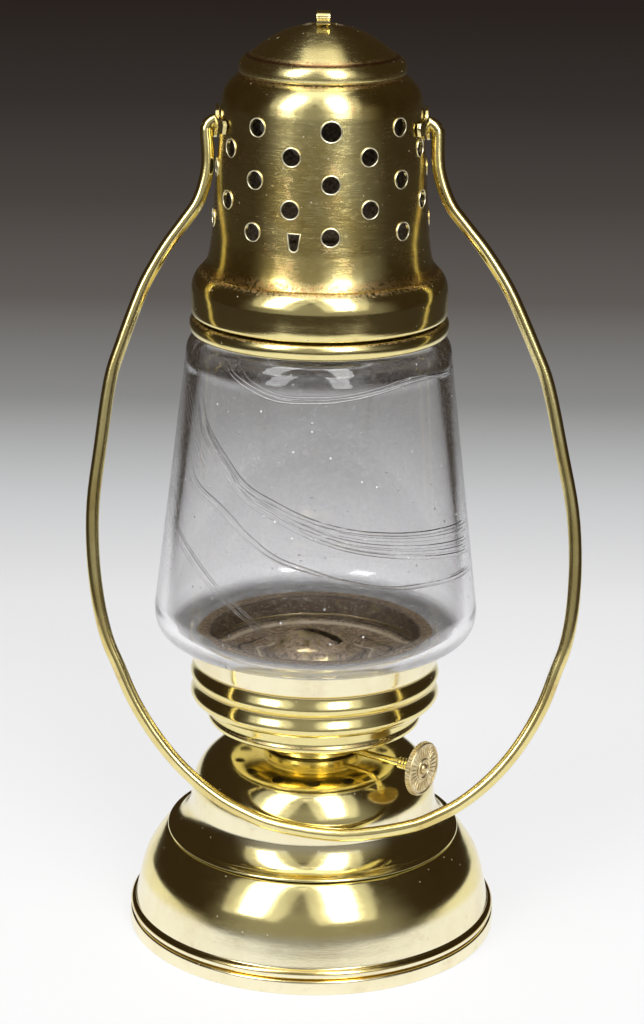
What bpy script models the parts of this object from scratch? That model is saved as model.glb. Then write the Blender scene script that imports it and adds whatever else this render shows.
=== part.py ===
# Hurricane lamp: a small brass hand lantern with a clear globe, a perforated chimney and a wire bail.
# Lengths are in metres. The origin is the centre of the foot, on the surface that the lamp stands on.
# +Z is up, the viewer looks along +Y, and +X is to the viewer's right.

import bmesh
import bpy
from math import asin, atan2, cos, degrees, hypot, pi, radians, sin, sqrt
from mathutils import Matrix, Vector

MM = 0.001

# Clearances, sheet and facets shared by the whole lamp
SEAT_GAP = 0.3 * MM
CUT_OVERRUN = 2.0 * MM
MERGE_DISTANCE = 0.005 * MM
SHEET = 0.6 * MM
THIN_SHEET = 0.5 * MM
LARGE_SIDES = 28
SMALL_SIDES = 16
SHAFT_SIDES = 10
HOLE_SIDES = 8
BEAD_SPANS = 3
SMOOTH_ANGLE = radians(32)

# Foot: a spun bell with a rolled bead above a short upright rim
FOOT_RADIUS = 36.3 * MM
FOOT_RIM_HEIGHT = 2.9 * MM
FOOT_BEAD_HEIGHT = 1.9 * MM
FOOT_BEAD_BULGE = 0.9 * MM
BELL_INSET = 1.0 * MM
SEAM_RADIUS = 28.3 * MM
SEAM_HEIGHT = 19.5 * MM
SEAM_LEDGE = 2.2 * MM
BELL_SHARES = ((0.0, 1.0), (0.244, 0.897), (0.471, 0.767), (0.69, 0.58), (0.868, 0.301), (1.0, 0.0))
BASE_PLATE_THICKNESS = 0.6 * MM

# Font: the fuel vessel, an S-shaped flare from the seam into an upright wall and a low dome
FONT_RADIUS = 24.1 * MM
FONT_WALL_HEIGHT = 6.6 * MM
FONT_HEIGHT = 17.4 * MM
FONT_NECK_RADIUS = 9.7 * MM
FONT_DOME_SHARES = ((0.0, 1.0), (0.4, 0.97), (0.618, 0.882), (0.79, 0.71), (0.917, 0.445), (0.993, 0.04))
FONT_FLARE_SHARES = ((0.035, 0.72), (0.24, 0.38), (0.6, 0.09), (1.0, 0.0))

# Screwed collar in the font's neck
COLLAR_BORE = 8.0 * MM
COLLAR_DEPTH = 3.5 * MM
COLLAR_FLANGE_WIDTH = 1.8 * MM
COLLAR_FLANGE_THICKNESS = 0.8 * MM

# Burner body: a spigot in the collar under a wider hollow head
BURNER_RADIUS = 9.8 * MM
BURNER_HEAD_HEIGHT = 4.6 * MM
BURNER_BORE = 6.6 * MM
BURNER_SPIGOT_LENGTH = 4.0 * MM
BURNER_FLOOR_THICKNESS = 1.0 * MM

# Gallery: the dished cup that carries the globe's collar
GALLERY_RADIUS = 20.5 * MM
GALLERY_HEIGHT = 13.2 * MM
GALLERY_UPPER_RADIUS = 22.3 * MM
GALLERY_STEP_HEIGHT = 6.0 * MM
GALLERY_STEP_RISE = 0.6 * MM
GALLERY_CORNER = 1.1 * MM
GALLERY_LINE_BULGE = 0.3 * MM
AIR_HOLES = 12
AIR_HOLE_RADIUS = 1.7 * MM
AIR_HOLE_INSET = 3.9 * MM

# Burner deck: the pressed plate over the gallery, with raised rings round the cone
DECK_DEPTH = 1.5 * MM
DECK_RING_RISE = 0.9 * MM
DECK_FLANGE_WIDTH = 1.7 * MM
DECK_BORE = 7.4 * MM
DECK_RING_SHARES = ((0.2, 0.25), (0.28, 1.0), (0.41, 1.0), (0.5, 0.35))

# Cone: the slotted cap over the wick
CONE_RADIUS = 8.5 * MM
CONE_HEIGHT = 5.4 * MM
CONE_FLANGE_WIDTH = 1.1 * MM
CONE_SHARES = ((0.0, 1.0), (0.42, 0.96), (0.8, 0.68), (1.0, 0.0))
CONE_SLOT_LENGTH = 12.4 * MM
CONE_SLOT_WIDTH = 3.0 * MM

# Wick, its tube and the winder that raises it
WICK_WIDTH = 10.0 * MM
WICK_THICKNESS = 1.4 * MM
WICK_BOTTOM = 8.0 * MM
WICK_BELOW_CONE = 1.7 * MM
TUBE_WALL = 0.4 * MM
TUBE_BELOW_BURNER = 2.2 * MM
TUBE_BELOW_CONE = 2.6 * MM
WINDER_DIRECTION = radians(-34)
WINDER_RISE = 2.0 * MM
WINDER_REACH = 27.0 * MM
SHAFT_RADIUS = 0.7 * MM
SHAFT_BOSS_RADIUS = 1.15 * MM
SHAFT_BOSS_LENGTH = 4.5 * MM
SHAFT_GROOVES = 3
SHAFT_GROOVE_DEPTH = 0.25 * MM
SPROCKET_RADIUS = 2.0 * MM
SPROCKET_ROOT = 1.45 * MM
SPROCKET_THICKNESS = 0.8 * MM
SPROCKET_SPACING = 5.0 * MM
SPROCKET_TEETH = 8
WHEEL_RADIUS = 5.3 * MM
WHEEL_THICKNESS = 1.2 * MM
WHEEL_FLUTES = 26
WHEEL_FLUTE_DEPTH = 0.25 * MM
HUB_RADIUS = 1.75 * MM
HUB_HEIGHT = 0.7 * MM

# Globe: a tapered glass, plastered into a beaded collar below and a ring above
GLOBE_HEIGHT = 65.4 * MM
GLOBE_RADIUS = 31.2 * MM
GLOBE_WALL = 2.4 * MM
GLOBE_NECK_RADIUS = 22.2 * MM
GLOBE_NECK_HEIGHT = 2.6 * MM
GLOBE_NECK_WALL = 2.2 * MM
GLOBE_CORNER = 6.4 * MM
GLOBE_TOP_NECK_RADIUS = 21.6 * MM
GLOBE_TOP_NECK_HEIGHT = 2.3 * MM
GLOBE_SHOULDER_WIDTH = 3.6 * MM
GLOBE_TOP_RADIUS = GLOBE_TOP_NECK_RADIUS + GLOBE_SHOULDER_WIDTH
GLOBE_SHOULDER = 4.3 * MM
GLOBE_SHOULDER_SHARES = ((0.0, 1.0), (0.6, 0.8), (1.0, 0.0))
GLOBE_CORNER_SHARES = ((1.0, 1.0), (0.97, 0.45), (0.82, 0.15), (0.55, 0.0), (0.12, 0.0))
GLOBE_BELLY_SHARES = ((0.25, 0.0), (0.8, 0.16), (1.0, 1.0))
GLOBE_UNDER_SHOULDER_SHARES = ((1.0, -0.1), (0.6, 0.55), (0.0, 1.0))
COLLAR_BAND_RADIUS = 24.0 * MM
COLLAR_BAND_HEIGHT = 4.2 * MM
COLLAR_BEAD_HEIGHT = 4.0 * MM
COLLAR_BEAD_BULGE = 0.85 * MM
COLLAR_CREASE_DEPTH = 0.6 * MM
COLLAR_BELOW_LEDGE = 1.3 * MM
COLLAR_LEDGE_RADIUS = 21.0 * MM
RING_WIDTH = 2.9 * MM
RING_RADIUS = GLOBE_TOP_NECK_RADIUS + RING_WIDTH
RING_BEAD_BULGE = 0.9 * MM
RING_BEAD_HEIGHT = 3.0 * MM
RING_SPIGOT_STEP = 0.2 * MM
RING_SPIGOT_RADIUS = GLOBE_TOP_NECK_RADIUS + RING_SPIGOT_STEP
RING_SPIGOT_HEIGHT = 3.9 * MM

# Cap: the band, the perforated chimney wall, the dome and its loop, each radius led by the one below
BAND_OVERHANG = 2.4 * MM
BAND_RADIUS = RING_SPIGOT_RADIUS + BAND_OVERHANG
BAND_HEIGHT = 9.2 * MM
BAND_LIP_WIDTH = 1.9 * MM
BAND_LIP_HEIGHT = 2.3 * MM
BAND_SHOULDER_WIDTH = 3.9 * MM
BAND_TOP_RADIUS = BAND_RADIUS - BAND_SHOULDER_WIDTH
BAND_SHOULDER_SHARES = ((0.0, 1.0), (0.3, 0.99), (0.64, 0.83), (0.9, 0.47), (1.0, 0.0))
BAND_SHOULDER_HEIGHT = 5.2 * MM
BAND_LIP_SHARES = ((1.0, 1.0), (0.85, 0.35), (0.0, 0.0))
WALL_HEIGHT = 35.3 * MM
WALL_FOOT_STEP = 1.1 * MM
WALL_FLARE_WIDTH = 1.05 * MM
WALL_TAPER = 1.65 * MM
WALL_SHOULDER_WIDTH = 3.5 * MM
WALL_FOOT_RADIUS = BAND_TOP_RADIUS + WALL_FOOT_STEP
WALL_BASE_RADIUS = WALL_FOOT_RADIUS - WALL_FLARE_WIDTH
WALL_TOP_RADIUS = WALL_BASE_RADIUS - WALL_TAPER
WALL_MOUTH_RADIUS = WALL_TOP_RADIUS - WALL_SHOULDER_WIDTH
WALL_FLARE_HEIGHT = 5.6 * MM
WALL_SHOULDER_HEIGHT = 5.1 * MM
WALL_SHOULDER_SHARES = ((0.0, 1.0), (0.42, 0.86), (0.8, 0.54), (1.0, 0.0))
WALL_FLARE_SHARES = ((0.5, 0.34), (1.0, 0.0))
HOLE_RADIUS = 1.7 * MM
HOLE_ROWS = 5
HOLES_PER_ROW = 8
HOLE_PITCH = radians(43.2)
HOLE_FIRST_TURN = radians(5.3)
HOLE_TOP_DROP = 7.2 * MM
HOLE_ROW_SPACING = 4.72 * MM
ODD_HOLE_TURN = radians(-13.7)
ODD_HOLE_DROP = 27.2 * MM
ODD_HOLE_WIDTH = 2.2 * MM
ODD_HOLE_HEIGHT = 3.1 * MM
DOME_MOUTH_STEP = 0.6 * MM
DOME_SPREAD = 0.7 * MM
DOME_MOUTH_RADIUS = WALL_MOUTH_RADIUS - DOME_MOUTH_STEP
DOME_RADIUS = DOME_MOUTH_RADIUS - DOME_SPREAD
DOME_HEIGHT = 9.3 * MM
DOME_BEAD_HEIGHT = 3.4 * MM
DOME_BEAD_BULGE = 1.2 * MM
DOME_SHARES = ((0.0, 1.0), (0.32, 0.9), (0.6, 0.66), (1.0, 0.0))
VENT_RADIUS = 1.2 * MM
VENT_SPACING = 5.4 * MM
LOOP_WIDTH = 2.5 * MM
LOOP_SHEET = 0.7 * MM
LOOP_HEIGHT = 2.3 * MM
LOOP_HALF_SPAN = 1.9 * MM
LOOP_FOOT_LENGTH = 1.8 * MM
LOOP_ARCH_SPANS = 8

# Bail: a hooked wire that swings in two soldered ears
PIVOT_DROP = 8.5 * MM
BAIL_WIRE_RADIUS = 1.25 * MM
BAIL_CROWN_HEIGHT = 25.8 * MM
BAIL_HALF_WIDTH = 45.4 * MM
BAIL_HOOK_RADIUS = 2.0 * MM
BAIL_LEG_LENGTH = 8.5 * MM
BAIL_END_INSIDE = 1.0 * MM
BAIL_SKEW_SHARE = 0.042
BAIL_UPPER_SHARES = ((0.076, 0.108), (0.322, 0.168), (0.554, 0.238), (0.717, 0.309), (0.817, 0.361),
                     (0.913, 0.455), (0.985, 0.533))
BAIL_LOWER_SHARES = ((1.0, 0.604), (0.985, 0.671), (0.954, 0.723), (0.850, 0.812), (0.760, 0.864),
                     (0.652, 0.909), (0.526, 0.946), (0.410, 0.969), (0.264, 0.988))
EAR_THICKNESS = 0.6 * MM
EAR_LOBE_RADIUS = 3.1 * MM
EAR_HALF_SPAN = 8.4 * MM
EAR_WING_HEIGHT = 2.8 * MM
EAR_LOBE_SPANS = 8

# Heights that stack up from the foot, each piece seated on the one below
FONT_FLANGE_TOP = SEAM_HEIGHT + SEAT_GAP + SHEET
FONT_TOP = SEAM_HEIGHT + FONT_HEIGHT
FONT_WALL_TOP = FONT_FLANGE_TOP + FONT_WALL_HEIGHT
BURNER_SEAT = FONT_TOP + SEAT_GAP
BURNER_TOP = BURNER_SEAT + BURNER_HEAD_HEIGHT
BURNER_BOTTOM = BURNER_SEAT - BURNER_SPIGOT_LENGTH
GALLERY_FLOOR = BURNER_TOP + SEAT_GAP
GALLERY_RIM = GALLERY_FLOOR + GALLERY_HEIGHT
DECK_TOP = GALLERY_RIM + SEAT_GAP + THIN_SHEET
DECK_FLOOR = DECK_TOP - DECK_DEPTH
CONE_SEAT = DECK_FLOOR + SEAT_GAP + THIN_SHEET
CONE_TOP = CONE_SEAT + CONE_HEIGHT
LEDGE_BOTTOM = DECK_TOP + SEAT_GAP
LEDGE_TOP = LEDGE_BOTTOM + THIN_SHEET
GLOBE_BOTTOM = LEDGE_TOP + SEAT_GAP
GLOBE_TOP = GLOBE_BOTTOM + GLOBE_HEIGHT
RING_LEDGE_BOTTOM = GLOBE_TOP + SEAT_GAP
RING_TOP = RING_LEDGE_BOTTOM + THIN_SHEET
BAND_BOTTOM = RING_TOP + SEAT_GAP
BAND_TOP = BAND_BOTTOM + BAND_HEIGHT
WALL_BOTTOM = BAND_TOP + SEAT_GAP
WALL_TOP = WALL_BOTTOM + WALL_HEIGHT
DOME_BOTTOM = WALL_TOP + SEAT_GAP
DOME_TOP = DOME_BOTTOM + DOME_HEIGHT
PIVOT_HEIGHT = WALL_TOP - PIVOT_DROP
BAIL_DROP = PIVOT_HEIGHT - BAIL_CROWN_HEIGHT
WINDER_HEIGHT = FONT_TOP + WINDER_RISE
TUBE_HALF_WIDTH = WICK_WIDTH / 2 + SEAT_GAP + TUBE_WALL
TUBE_HALF_THICKNESS = WICK_THICKNESS / 2 + SEAT_GAP + TUBE_WALL
WINDER_OFFSET = WICK_THICKNESS / 2 + SEAT_GAP + SPROCKET_RADIUS


# Profile helpers

def between(start, end, share):
    return start + (end - start) * share


def flank(near, far, shares):
    # each share pair says how far a point lies from near to far, in radius and in height
    return [(between(near[0], far[0], r), between(near[1], far[1], z)) for r, z in shares]


def bead(radius, top, bottom, bulge, spans=BEAD_SPANS):
    # half round that swells by bulge from the radius, from its top down to its bottom
    points = []
    for step in range(spans + 1):
        turn = pi * step / spans
        points.append((radius + bulge * sin(turn), between(top, bottom, (1 - cos(turn)) / 2)))
    return points


def radius_at(points, height):
    # radius of a profile at a height, between the two points that hold it
    ordered = sorted(points, key=lambda point: point[1])
    for (low_radius, low), (high_radius, high) in zip(ordered, ordered[1:]):
        if low <= height <= high and high > low:
            return between(low_radius, high_radius, (height - low) / (high - low))
    return ordered[0][0] if height < ordered[0][1] else ordered[-1][0]


def distance_to_segment(point, start, end):
    along = (end[0] - start[0], end[1] - start[1])
    length = along[0] ** 2 + along[1] ** 2
    share = 0 if length == 0 else ((point[0] - start[0]) * along[0] + (point[1] - start[1]) * along[1]) / length
    share = min(1, max(0, share))
    return hypot(point[0] - start[0] - along[0] * share, point[1] - start[1] - along[1] * share)


# Outer profiles, top to bottom

def foot_profile():
    bell_base = (FOOT_RADIUS - BELL_INSET, FOOT_RIM_HEIGHT + FOOT_BEAD_HEIGHT)
    ledge = [(SEAM_RADIUS - SEAM_LEDGE, SEAM_HEIGHT)]
    bell = flank((SEAM_RADIUS, bell_base[1]), (bell_base[0], SEAM_HEIGHT), BELL_SHARES)
    roll = bead(bell_base[0], bell_base[1], FOOT_RIM_HEIGHT, FOOT_BEAD_BULGE)[1:]
    rim = [(FOOT_RADIUS, FOOT_RIM_HEIGHT - FOOT_BEAD_BULGE / 2), (FOOT_RADIUS, 0)]
    return ledge + bell + roll + rim


def font_profile():
    dome = flank((FONT_NECK_RADIUS, FONT_WALL_TOP), (FONT_RADIUS, FONT_TOP), FONT_DOME_SHARES)
    flare = flank((FONT_RADIUS, FONT_FLANGE_TOP), (SEAM_RADIUS, FONT_WALL_TOP), FONT_FLARE_SHARES)
    return dome + flare


def gallery_profile():
    step = GALLERY_FLOOR + GALLERY_STEP_HEIGHT
    line = GALLERY_FLOOR + GALLERY_CORNER
    wall = [(GALLERY_UPPER_RADIUS, GALLERY_RIM), (GALLERY_UPPER_RADIUS, step + GALLERY_STEP_RISE),
            (GALLERY_RADIUS, step - GALLERY_STEP_RISE), (GALLERY_RADIUS, line + GALLERY_CORNER)]
    foot = [(GALLERY_RADIUS + GALLERY_LINE_BULGE, line), (GALLERY_RADIUS, line - GALLERY_CORNER / 2),
            (GALLERY_RADIUS - GALLERY_CORNER, GALLERY_FLOOR), (BURNER_BORE + SEAT_GAP, GALLERY_FLOOR)]
    return wall + foot


def collar_beads(inset):
    # the two rolled threads under the smooth band, moved inwards by the sheet for the inner side
    top = LEDGE_BOTTOM - COLLAR_BELOW_LEDGE
    radius = COLLAR_BAND_RADIUS - COLLAR_CREASE_DEPTH - inset
    points = []
    for row in range(2):
        upper = top - row * COLLAR_BEAD_HEIGHT
        points += bead(radius, upper, upper - COLLAR_BEAD_HEIGHT, COLLAR_BEAD_BULGE)[1 if row else 0:]
    return points


def collar_band_top():
    return LEDGE_BOTTOM - COLLAR_BELOW_LEDGE + COLLAR_BAND_HEIGHT


def globe_outer():
    shoulder_top = GLOBE_TOP - GLOBE_TOP_NECK_HEIGHT
    shoulder_low = shoulder_top - GLOBE_SHOULDER
    corner_low = GLOBE_BOTTOM + GLOBE_NECK_HEIGHT
    shoulder = flank((GLOBE_TOP_NECK_RADIUS, shoulder_low), (GLOBE_TOP_RADIUS, shoulder_top),
                     GLOBE_SHOULDER_SHARES)
    corner = flank((GLOBE_NECK_RADIUS, corner_low), (GLOBE_RADIUS, corner_low + GLOBE_CORNER),
                   GLOBE_CORNER_SHARES)
    return ([(GLOBE_TOP_NECK_RADIUS, GLOBE_TOP)] + shoulder + corner
            + [(GLOBE_NECK_RADIUS, corner_low - SEAT_GAP), (GLOBE_NECK_RADIUS, GLOBE_BOTTOM)])


def globe_inner():
    # bottom to top
    bore = GLOBE_NECK_RADIUS - GLOBE_NECK_WALL
    floor = GLOBE_BOTTOM + GLOBE_NECK_HEIGHT + GLOBE_WALL
    top_bore = GLOBE_TOP_NECK_RADIUS - GLOBE_NECK_WALL
    shoulder_low = GLOBE_TOP - GLOBE_TOP_NECK_HEIGHT - GLOBE_SHOULDER
    belly = flank((bore, floor), (GLOBE_RADIUS - GLOBE_WALL, floor + GLOBE_CORNER - GLOBE_WALL),
                  GLOBE_BELLY_SHARES)
    shoulder = flank((top_bore, shoulder_low), (GLOBE_TOP_RADIUS - GLOBE_WALL, GLOBE_TOP - GLOBE_TOP_NECK_HEIGHT),
                     GLOBE_UNDER_SHOULDER_SHARES)
    return [(bore, GLOBE_BOTTOM), (bore, floor - GLOBE_WALL / 2)] + belly + shoulder + [(top_bore, GLOBE_TOP)]


def band_profile():
    shoulder = flank((BAND_TOP_RADIUS, BAND_TOP - BAND_SHOULDER_HEIGHT), (BAND_RADIUS, BAND_TOP),
                     BAND_SHOULDER_SHARES)
    lip = flank((BAND_RADIUS - BAND_LIP_WIDTH, BAND_BOTTOM), (BAND_RADIUS, BAND_BOTTOM + BAND_LIP_HEIGHT),
                BAND_LIP_SHARES)
    return shoulder + lip


def wall_profile():
    straight_top = WALL_TOP - WALL_SHOULDER_HEIGHT
    straight_low = WALL_BOTTOM + WALL_FLARE_HEIGHT
    shoulder = flank((WALL_MOUTH_RADIUS, straight_top), (WALL_TOP_RADIUS, WALL_TOP), WALL_SHOULDER_SHARES)
    flare = flank((WALL_BASE_RADIUS, WALL_BOTTOM), (WALL_FOOT_RADIUS, straight_low), WALL_FLARE_SHARES)
    return shoulder + [(WALL_BASE_RADIUS, straight_low)] + flare


def dome_profile():
    crease = DOME_BOTTOM + DOME_BEAD_HEIGHT
    dome = flank((0, crease), (DOME_RADIUS, DOME_TOP), DOME_SHARES)
    roll = []
    for radius, height in bead(0, crease, DOME_BOTTOM, DOME_BEAD_BULGE)[1:]:
        share = (crease - height) / DOME_BEAD_HEIGHT
        roll.append((between(DOME_RADIUS, DOME_MOUTH_RADIUS, share) + radius, height))
    return dome + roll


def deck_profile():
    # from the bore out to the flange, because the plate's upper side is the one drawn
    rings = []
    flat = CONE_RADIUS + CONE_FLANGE_WIDTH + SEAT_GAP
    outer = GALLERY_UPPER_RADIUS - SHEET - DECK_FLANGE_WIDTH
    for radial, rise in DECK_RING_SHARES:
        rings.append((between(flat, outer, radial), DECK_FLOOR + DECK_RING_RISE * rise))
    flange = GALLERY_UPPER_RADIUS - SEAT_GAP
    return [(DECK_BORE, DECK_FLOOR), (flat, DECK_FLOOR)] + rings + [(outer, DECK_TOP), (flange, DECK_TOP)]


def cone_profile():
    cap = flank((0, CONE_SEAT), (CONE_RADIUS, CONE_TOP), CONE_SHARES)
    return cap + [(CONE_RADIUS + CONE_FLANGE_WIDTH, CONE_SEAT)]


# Object helpers

def clear_scene():
    for item in list(bpy.data.objects):
        bpy.data.objects.remove(item, do_unlink=True)


def new_collection(name):
    collection = bpy.data.collections.new(name)
    bpy.context.scene.collection.children.link(collection)
    return collection


def finish_material(name, colour, metallic, roughness, transmission=0.0):
    material = bpy.data.materials.new(name)
    material.use_nodes = True
    shader = material.node_tree.nodes["Principled BSDF"]
    shader.inputs["Base Color"].default_value = (*colour, 1.0)
    shader.inputs["Metallic"].default_value = metallic
    shader.inputs["Roughness"].default_value = roughness
    shader.inputs["Transmission Weight"].default_value = transmission
    material.diffuse_color = (*colour, 1.0)
    return material


def brass(name):
    return finish_material(name, (0.78, 0.61, 0.26), 1.0, 0.16)


def sooty_brass(name):
    return finish_material(name, (0.16, 0.12, 0.08), 0.7, 0.55)


def clear_glass(name):
    return finish_material(name, (0.93, 0.92, 0.95), 0.0, 0.03, 1.0)


def plaster(name):
    return finish_material(name, (0.82, 0.79, 0.72), 0.0, 0.9)


def cotton(name):
    return finish_material(name, (0.80, 0.74, 0.62), 0.0, 0.95)


def add_object(name, data, collection, parent=None):
    item = bpy.data.objects.new(name, data)
    collection.objects.link(item)
    if parent is not None:
        item.parent = parent
    return item


def add_empty(name, location, rotation, collection):
    empty = bpy.data.objects.new(name, None)
    empty.location = location
    empty.rotation_euler = rotation
    collection.objects.link(empty)
    return empty


def profile_mesh(name, points, closed):
    shape = bmesh.new()
    corners = [shape.verts.new((radius, 0, height)) for radius, height in points]
    for near, far in zip(corners, corners[1:]):
        shape.edges.new((near, far))
    if closed:
        shape.edges.new((corners[-1], corners[0]))
    mesh = bpy.data.meshes.new(name)
    shape.to_mesh(mesh)
    shape.free()
    return mesh


def turned(name, points, sides, closed=True, sheet=None, parent=None):
    # a profile turned about Z: a closed loop is solid stock, an open line with a sheet is spun metal
    item = add_object(name, profile_mesh(name, points, closed), parts, parent)
    screw = item.modifiers.new("turn", "SCREW")
    screw.axis = "Z"
    screw.angle = 2 * pi
    screw.steps = sides
    screw.render_steps = sides
    screw.use_merge_vertices = True
    screw.merge_threshold = MERGE_DISTANCE
    if sheet is not None:
        solidify = item.modifiers.new("sheet", "SOLIDIFY")
        solidify.thickness = sheet
        solidify.offset = -1
        solidify.use_even_offset = True
    return item


def cut(item, tool):
    boolean = item.modifiers.new("cut", "BOOLEAN")
    boolean.operation = "DIFFERENCE"
    boolean.object = tool
    return boolean


def settle(item, material):
    # keep the modelled result as a plain mesh, smooth but for its true edges
    bpy.context.view_layer.update()
    evaluated = item.evaluated_get(bpy.context.evaluated_depsgraph_get())
    mesh = bpy.data.meshes.new_from_object(evaluated)
    item.modifiers.clear()
    mesh.name = item.name
    if item.type != "MESH":
        return replace_curve(item, mesh, material)
    item.data = mesh
    mesh.shade_smooth()
    mesh.set_sharp_from_angle(angle=SMOOTH_ANGLE)
    mesh.materials.clear()
    mesh.materials.append(material)
    return item


def weld(mesh):
    shape = bmesh.new()
    shape.from_mesh(mesh)
    bmesh.ops.remove_doubles(shape, verts=shape.verts, dist=MERGE_DISTANCE)
    shape.to_mesh(mesh)
    shape.free()


def replace_curve(item, mesh, material):
    weld(mesh)
    name, matrix, parent = item.name, item.matrix_world.copy(), item.parent
    bpy.data.objects.remove(item, do_unlink=True)
    solid = add_object(name, mesh, parts, parent)
    solid.matrix_world = matrix
    mesh.shade_smooth()
    mesh.set_sharp_from_angle(angle=SMOOTH_ANGLE)
    mesh.materials.clear()
    mesh.materials.append(material)
    return solid


def cutter_from(name, shape):
    mesh = bpy.data.meshes.new(name)
    shape.to_mesh(mesh)
    shape.free()
    item = add_object(name, mesh, cutters)
    item.hide_render = True
    item.display_type = "WIRE"
    return item


def add_cylinder(shape, radius, length, sides, matrix):
    bmesh.ops.create_cone(shape, cap_ends=True, segments=sides, radius1=radius, radius2=radius,
                          depth=length, matrix=matrix)


def add_box(shape, size, matrix):
    bmesh.ops.create_cube(shape, size=1.0, matrix=matrix @ Matrix.Diagonal((*size, 1.0)))


def radial_matrix(turn, radius, height):
    # local Z points outwards at a turn from the front, towards +X
    outward = Vector((sin(turn), -cos(turn), 0))
    place = outward * radius + Vector((0, 0, height))
    return Matrix.Translation(place) @ outward.to_track_quat("Z", "Y").to_matrix().to_4x4()


def outline_curve(name, rings, thickness, parent=None):
    # a flat outline, with any further rings as holes, extruded to a thickness about its plane
    curve = bpy.data.curves.new(name, "CURVE")
    curve.dimensions = "2D"
    curve.fill_mode = "BOTH"
    curve.extrude = thickness / 2
    for ring in rings:
        spline = curve.splines.new("POLY")
        spline.points.add(len(ring) - 1)
        spline.use_cyclic_u = True
        for point, (x, y) in zip(spline.points, ring):
            point.co = (x, y, 0, 1)
    return add_object(name, curve, parts, parent)


def ring_points(radius, count):
    return [(radius * cos(2 * pi * step / count), radius * sin(2 * pi * step / count)) for step in range(count)]


# Foot and font

def make_foot():
    settle(turned("foot_shell", foot_profile(), LARGE_SIDES, False, SHEET), brass("foot_brass"))
    shape = bmesh.new()
    radius = FOOT_RADIUS - SHEET - SEAT_GAP
    add_cylinder(shape, radius, BASE_PLATE_THICKNESS, LARGE_SIDES,
                 Matrix.Translation((0, 0, BASE_PLATE_THICKNESS / 2)))
    mesh = bpy.data.meshes.new("base_plate")
    shape.to_mesh(mesh)
    shape.free()
    settle(add_object("base_plate", mesh, parts), brass("plate_brass"))


def make_font():
    settle(turned("font_dome", font_profile(), LARGE_SIDES, False, SHEET), brass("font_brass"))
    outer = FONT_NECK_RADIUS - SEAT_GAP
    flange_top = FONT_TOP - SHEET - SEAT_GAP
    flange_low = flange_top - COLLAR_FLANGE_THICKNESS
    flange = outer + COLLAR_FLANGE_WIDTH
    low = FONT_TOP - COLLAR_DEPTH
    points = [(COLLAR_BORE, FONT_TOP), (outer, FONT_TOP), (outer, flange_top), (flange, flange_top),
              (flange, flange_low), (outer, flange_low), (outer, low), (COLLAR_BORE, low)]
    settle(turned("font_collar", points, SMALL_SIDES), brass("collar_brass"))


# Burner

def winder_axis():
    # direction of the shaft, the way across it, and the point on it nearest the lamp's axis
    along = Vector((cos(WINDER_DIRECTION), sin(WINDER_DIRECTION), 0))
    across = Vector((-sin(WINDER_DIRECTION), cos(WINDER_DIRECTION), 0))
    foot = Vector((0, 0, WINDER_HEIGHT)) - across * WINDER_OFFSET
    return along, across, foot


def wick_matrix(height):
    along, across, foot = winder_axis()
    turn = Matrix.Rotation(atan2(along.y, along.x), 4, "Z")
    return Matrix.Translation((0, 0, height)) @ turn


def shaft_cutter(name, radius, reach):
    along, across, foot = winder_axis()
    shape = bmesh.new()
    matrix = Matrix.Translation(foot) @ along.to_track_quat("Z", "Y").to_matrix().to_4x4()
    add_cylinder(shape, radius, reach * 2, HOLE_SIDES, matrix)
    return cutter_from(name, shape)


def box_cutter(name, size, matrix):
    shape = bmesh.new()
    add_box(shape, size, matrix)
    return cutter_from(name, shape)


def make_burner_body():
    spigot = COLLAR_BORE - SEAT_GAP
    floor = BURNER_BOTTOM + BURNER_FLOOR_THICKNESS
    points = [(0, floor), (BURNER_BORE, floor), (BURNER_BORE, BURNER_TOP), (BURNER_RADIUS, BURNER_TOP),
              (BURNER_RADIUS, BURNER_SEAT), (spigot, BURNER_SEAT), (spigot, BURNER_BOTTOM), (0, BURNER_BOTTOM)]
    item = turned("burner_body", points, SMALL_SIDES, closed=False)
    slot = (2 * (TUBE_HALF_WIDTH + SEAT_GAP), 2 * (TUBE_HALF_THICKNESS + SEAT_GAP),
            BURNER_FLOOR_THICKNESS + 2 * CUT_OVERRUN)
    middle = wick_matrix(BURNER_BOTTOM + BURNER_FLOOR_THICKNESS / 2)
    cut(item, box_cutter("tube_slot_cutter", slot, middle))
    cut(item, shaft_cutter("shaft_hole_cutter", SHAFT_RADIUS + SEAT_GAP, BURNER_RADIUS + CUT_OVERRUN))
    settle(item, brass("burner_brass"))


def make_gallery():
    item = turned("gallery_cup", gallery_profile(), LARGE_SIDES, False, SHEET)
    shape = bmesh.new()
    pitch = GALLERY_RADIUS - AIR_HOLE_INSET
    for hole in range(AIR_HOLES):
        turn = 2 * pi * hole / AIR_HOLES
        place = Matrix.Translation((pitch * cos(turn), pitch * sin(turn), GALLERY_FLOOR))
        add_cylinder(shape, AIR_HOLE_RADIUS, 2 * CUT_OVERRUN, HOLE_SIDES, place)
    cut(item, cutter_from("air_hole_cutters", shape))
    settle(item, brass("gallery_brass"))
    settle(turned("burner_deck", deck_profile(), LARGE_SIDES, False, THIN_SHEET), sooty_brass("deck_soot"))


def make_cone():
    item = turned("burner_cone", cone_profile(), SMALL_SIDES, False, THIN_SHEET)
    size = (CONE_SLOT_LENGTH, CONE_SLOT_WIDTH, CONE_HEIGHT)
    cut(item, box_cutter("cone_slot_cutter", size, wick_matrix(CONE_TOP)))
    settle(item, sooty_brass("cone_brass"))


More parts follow.
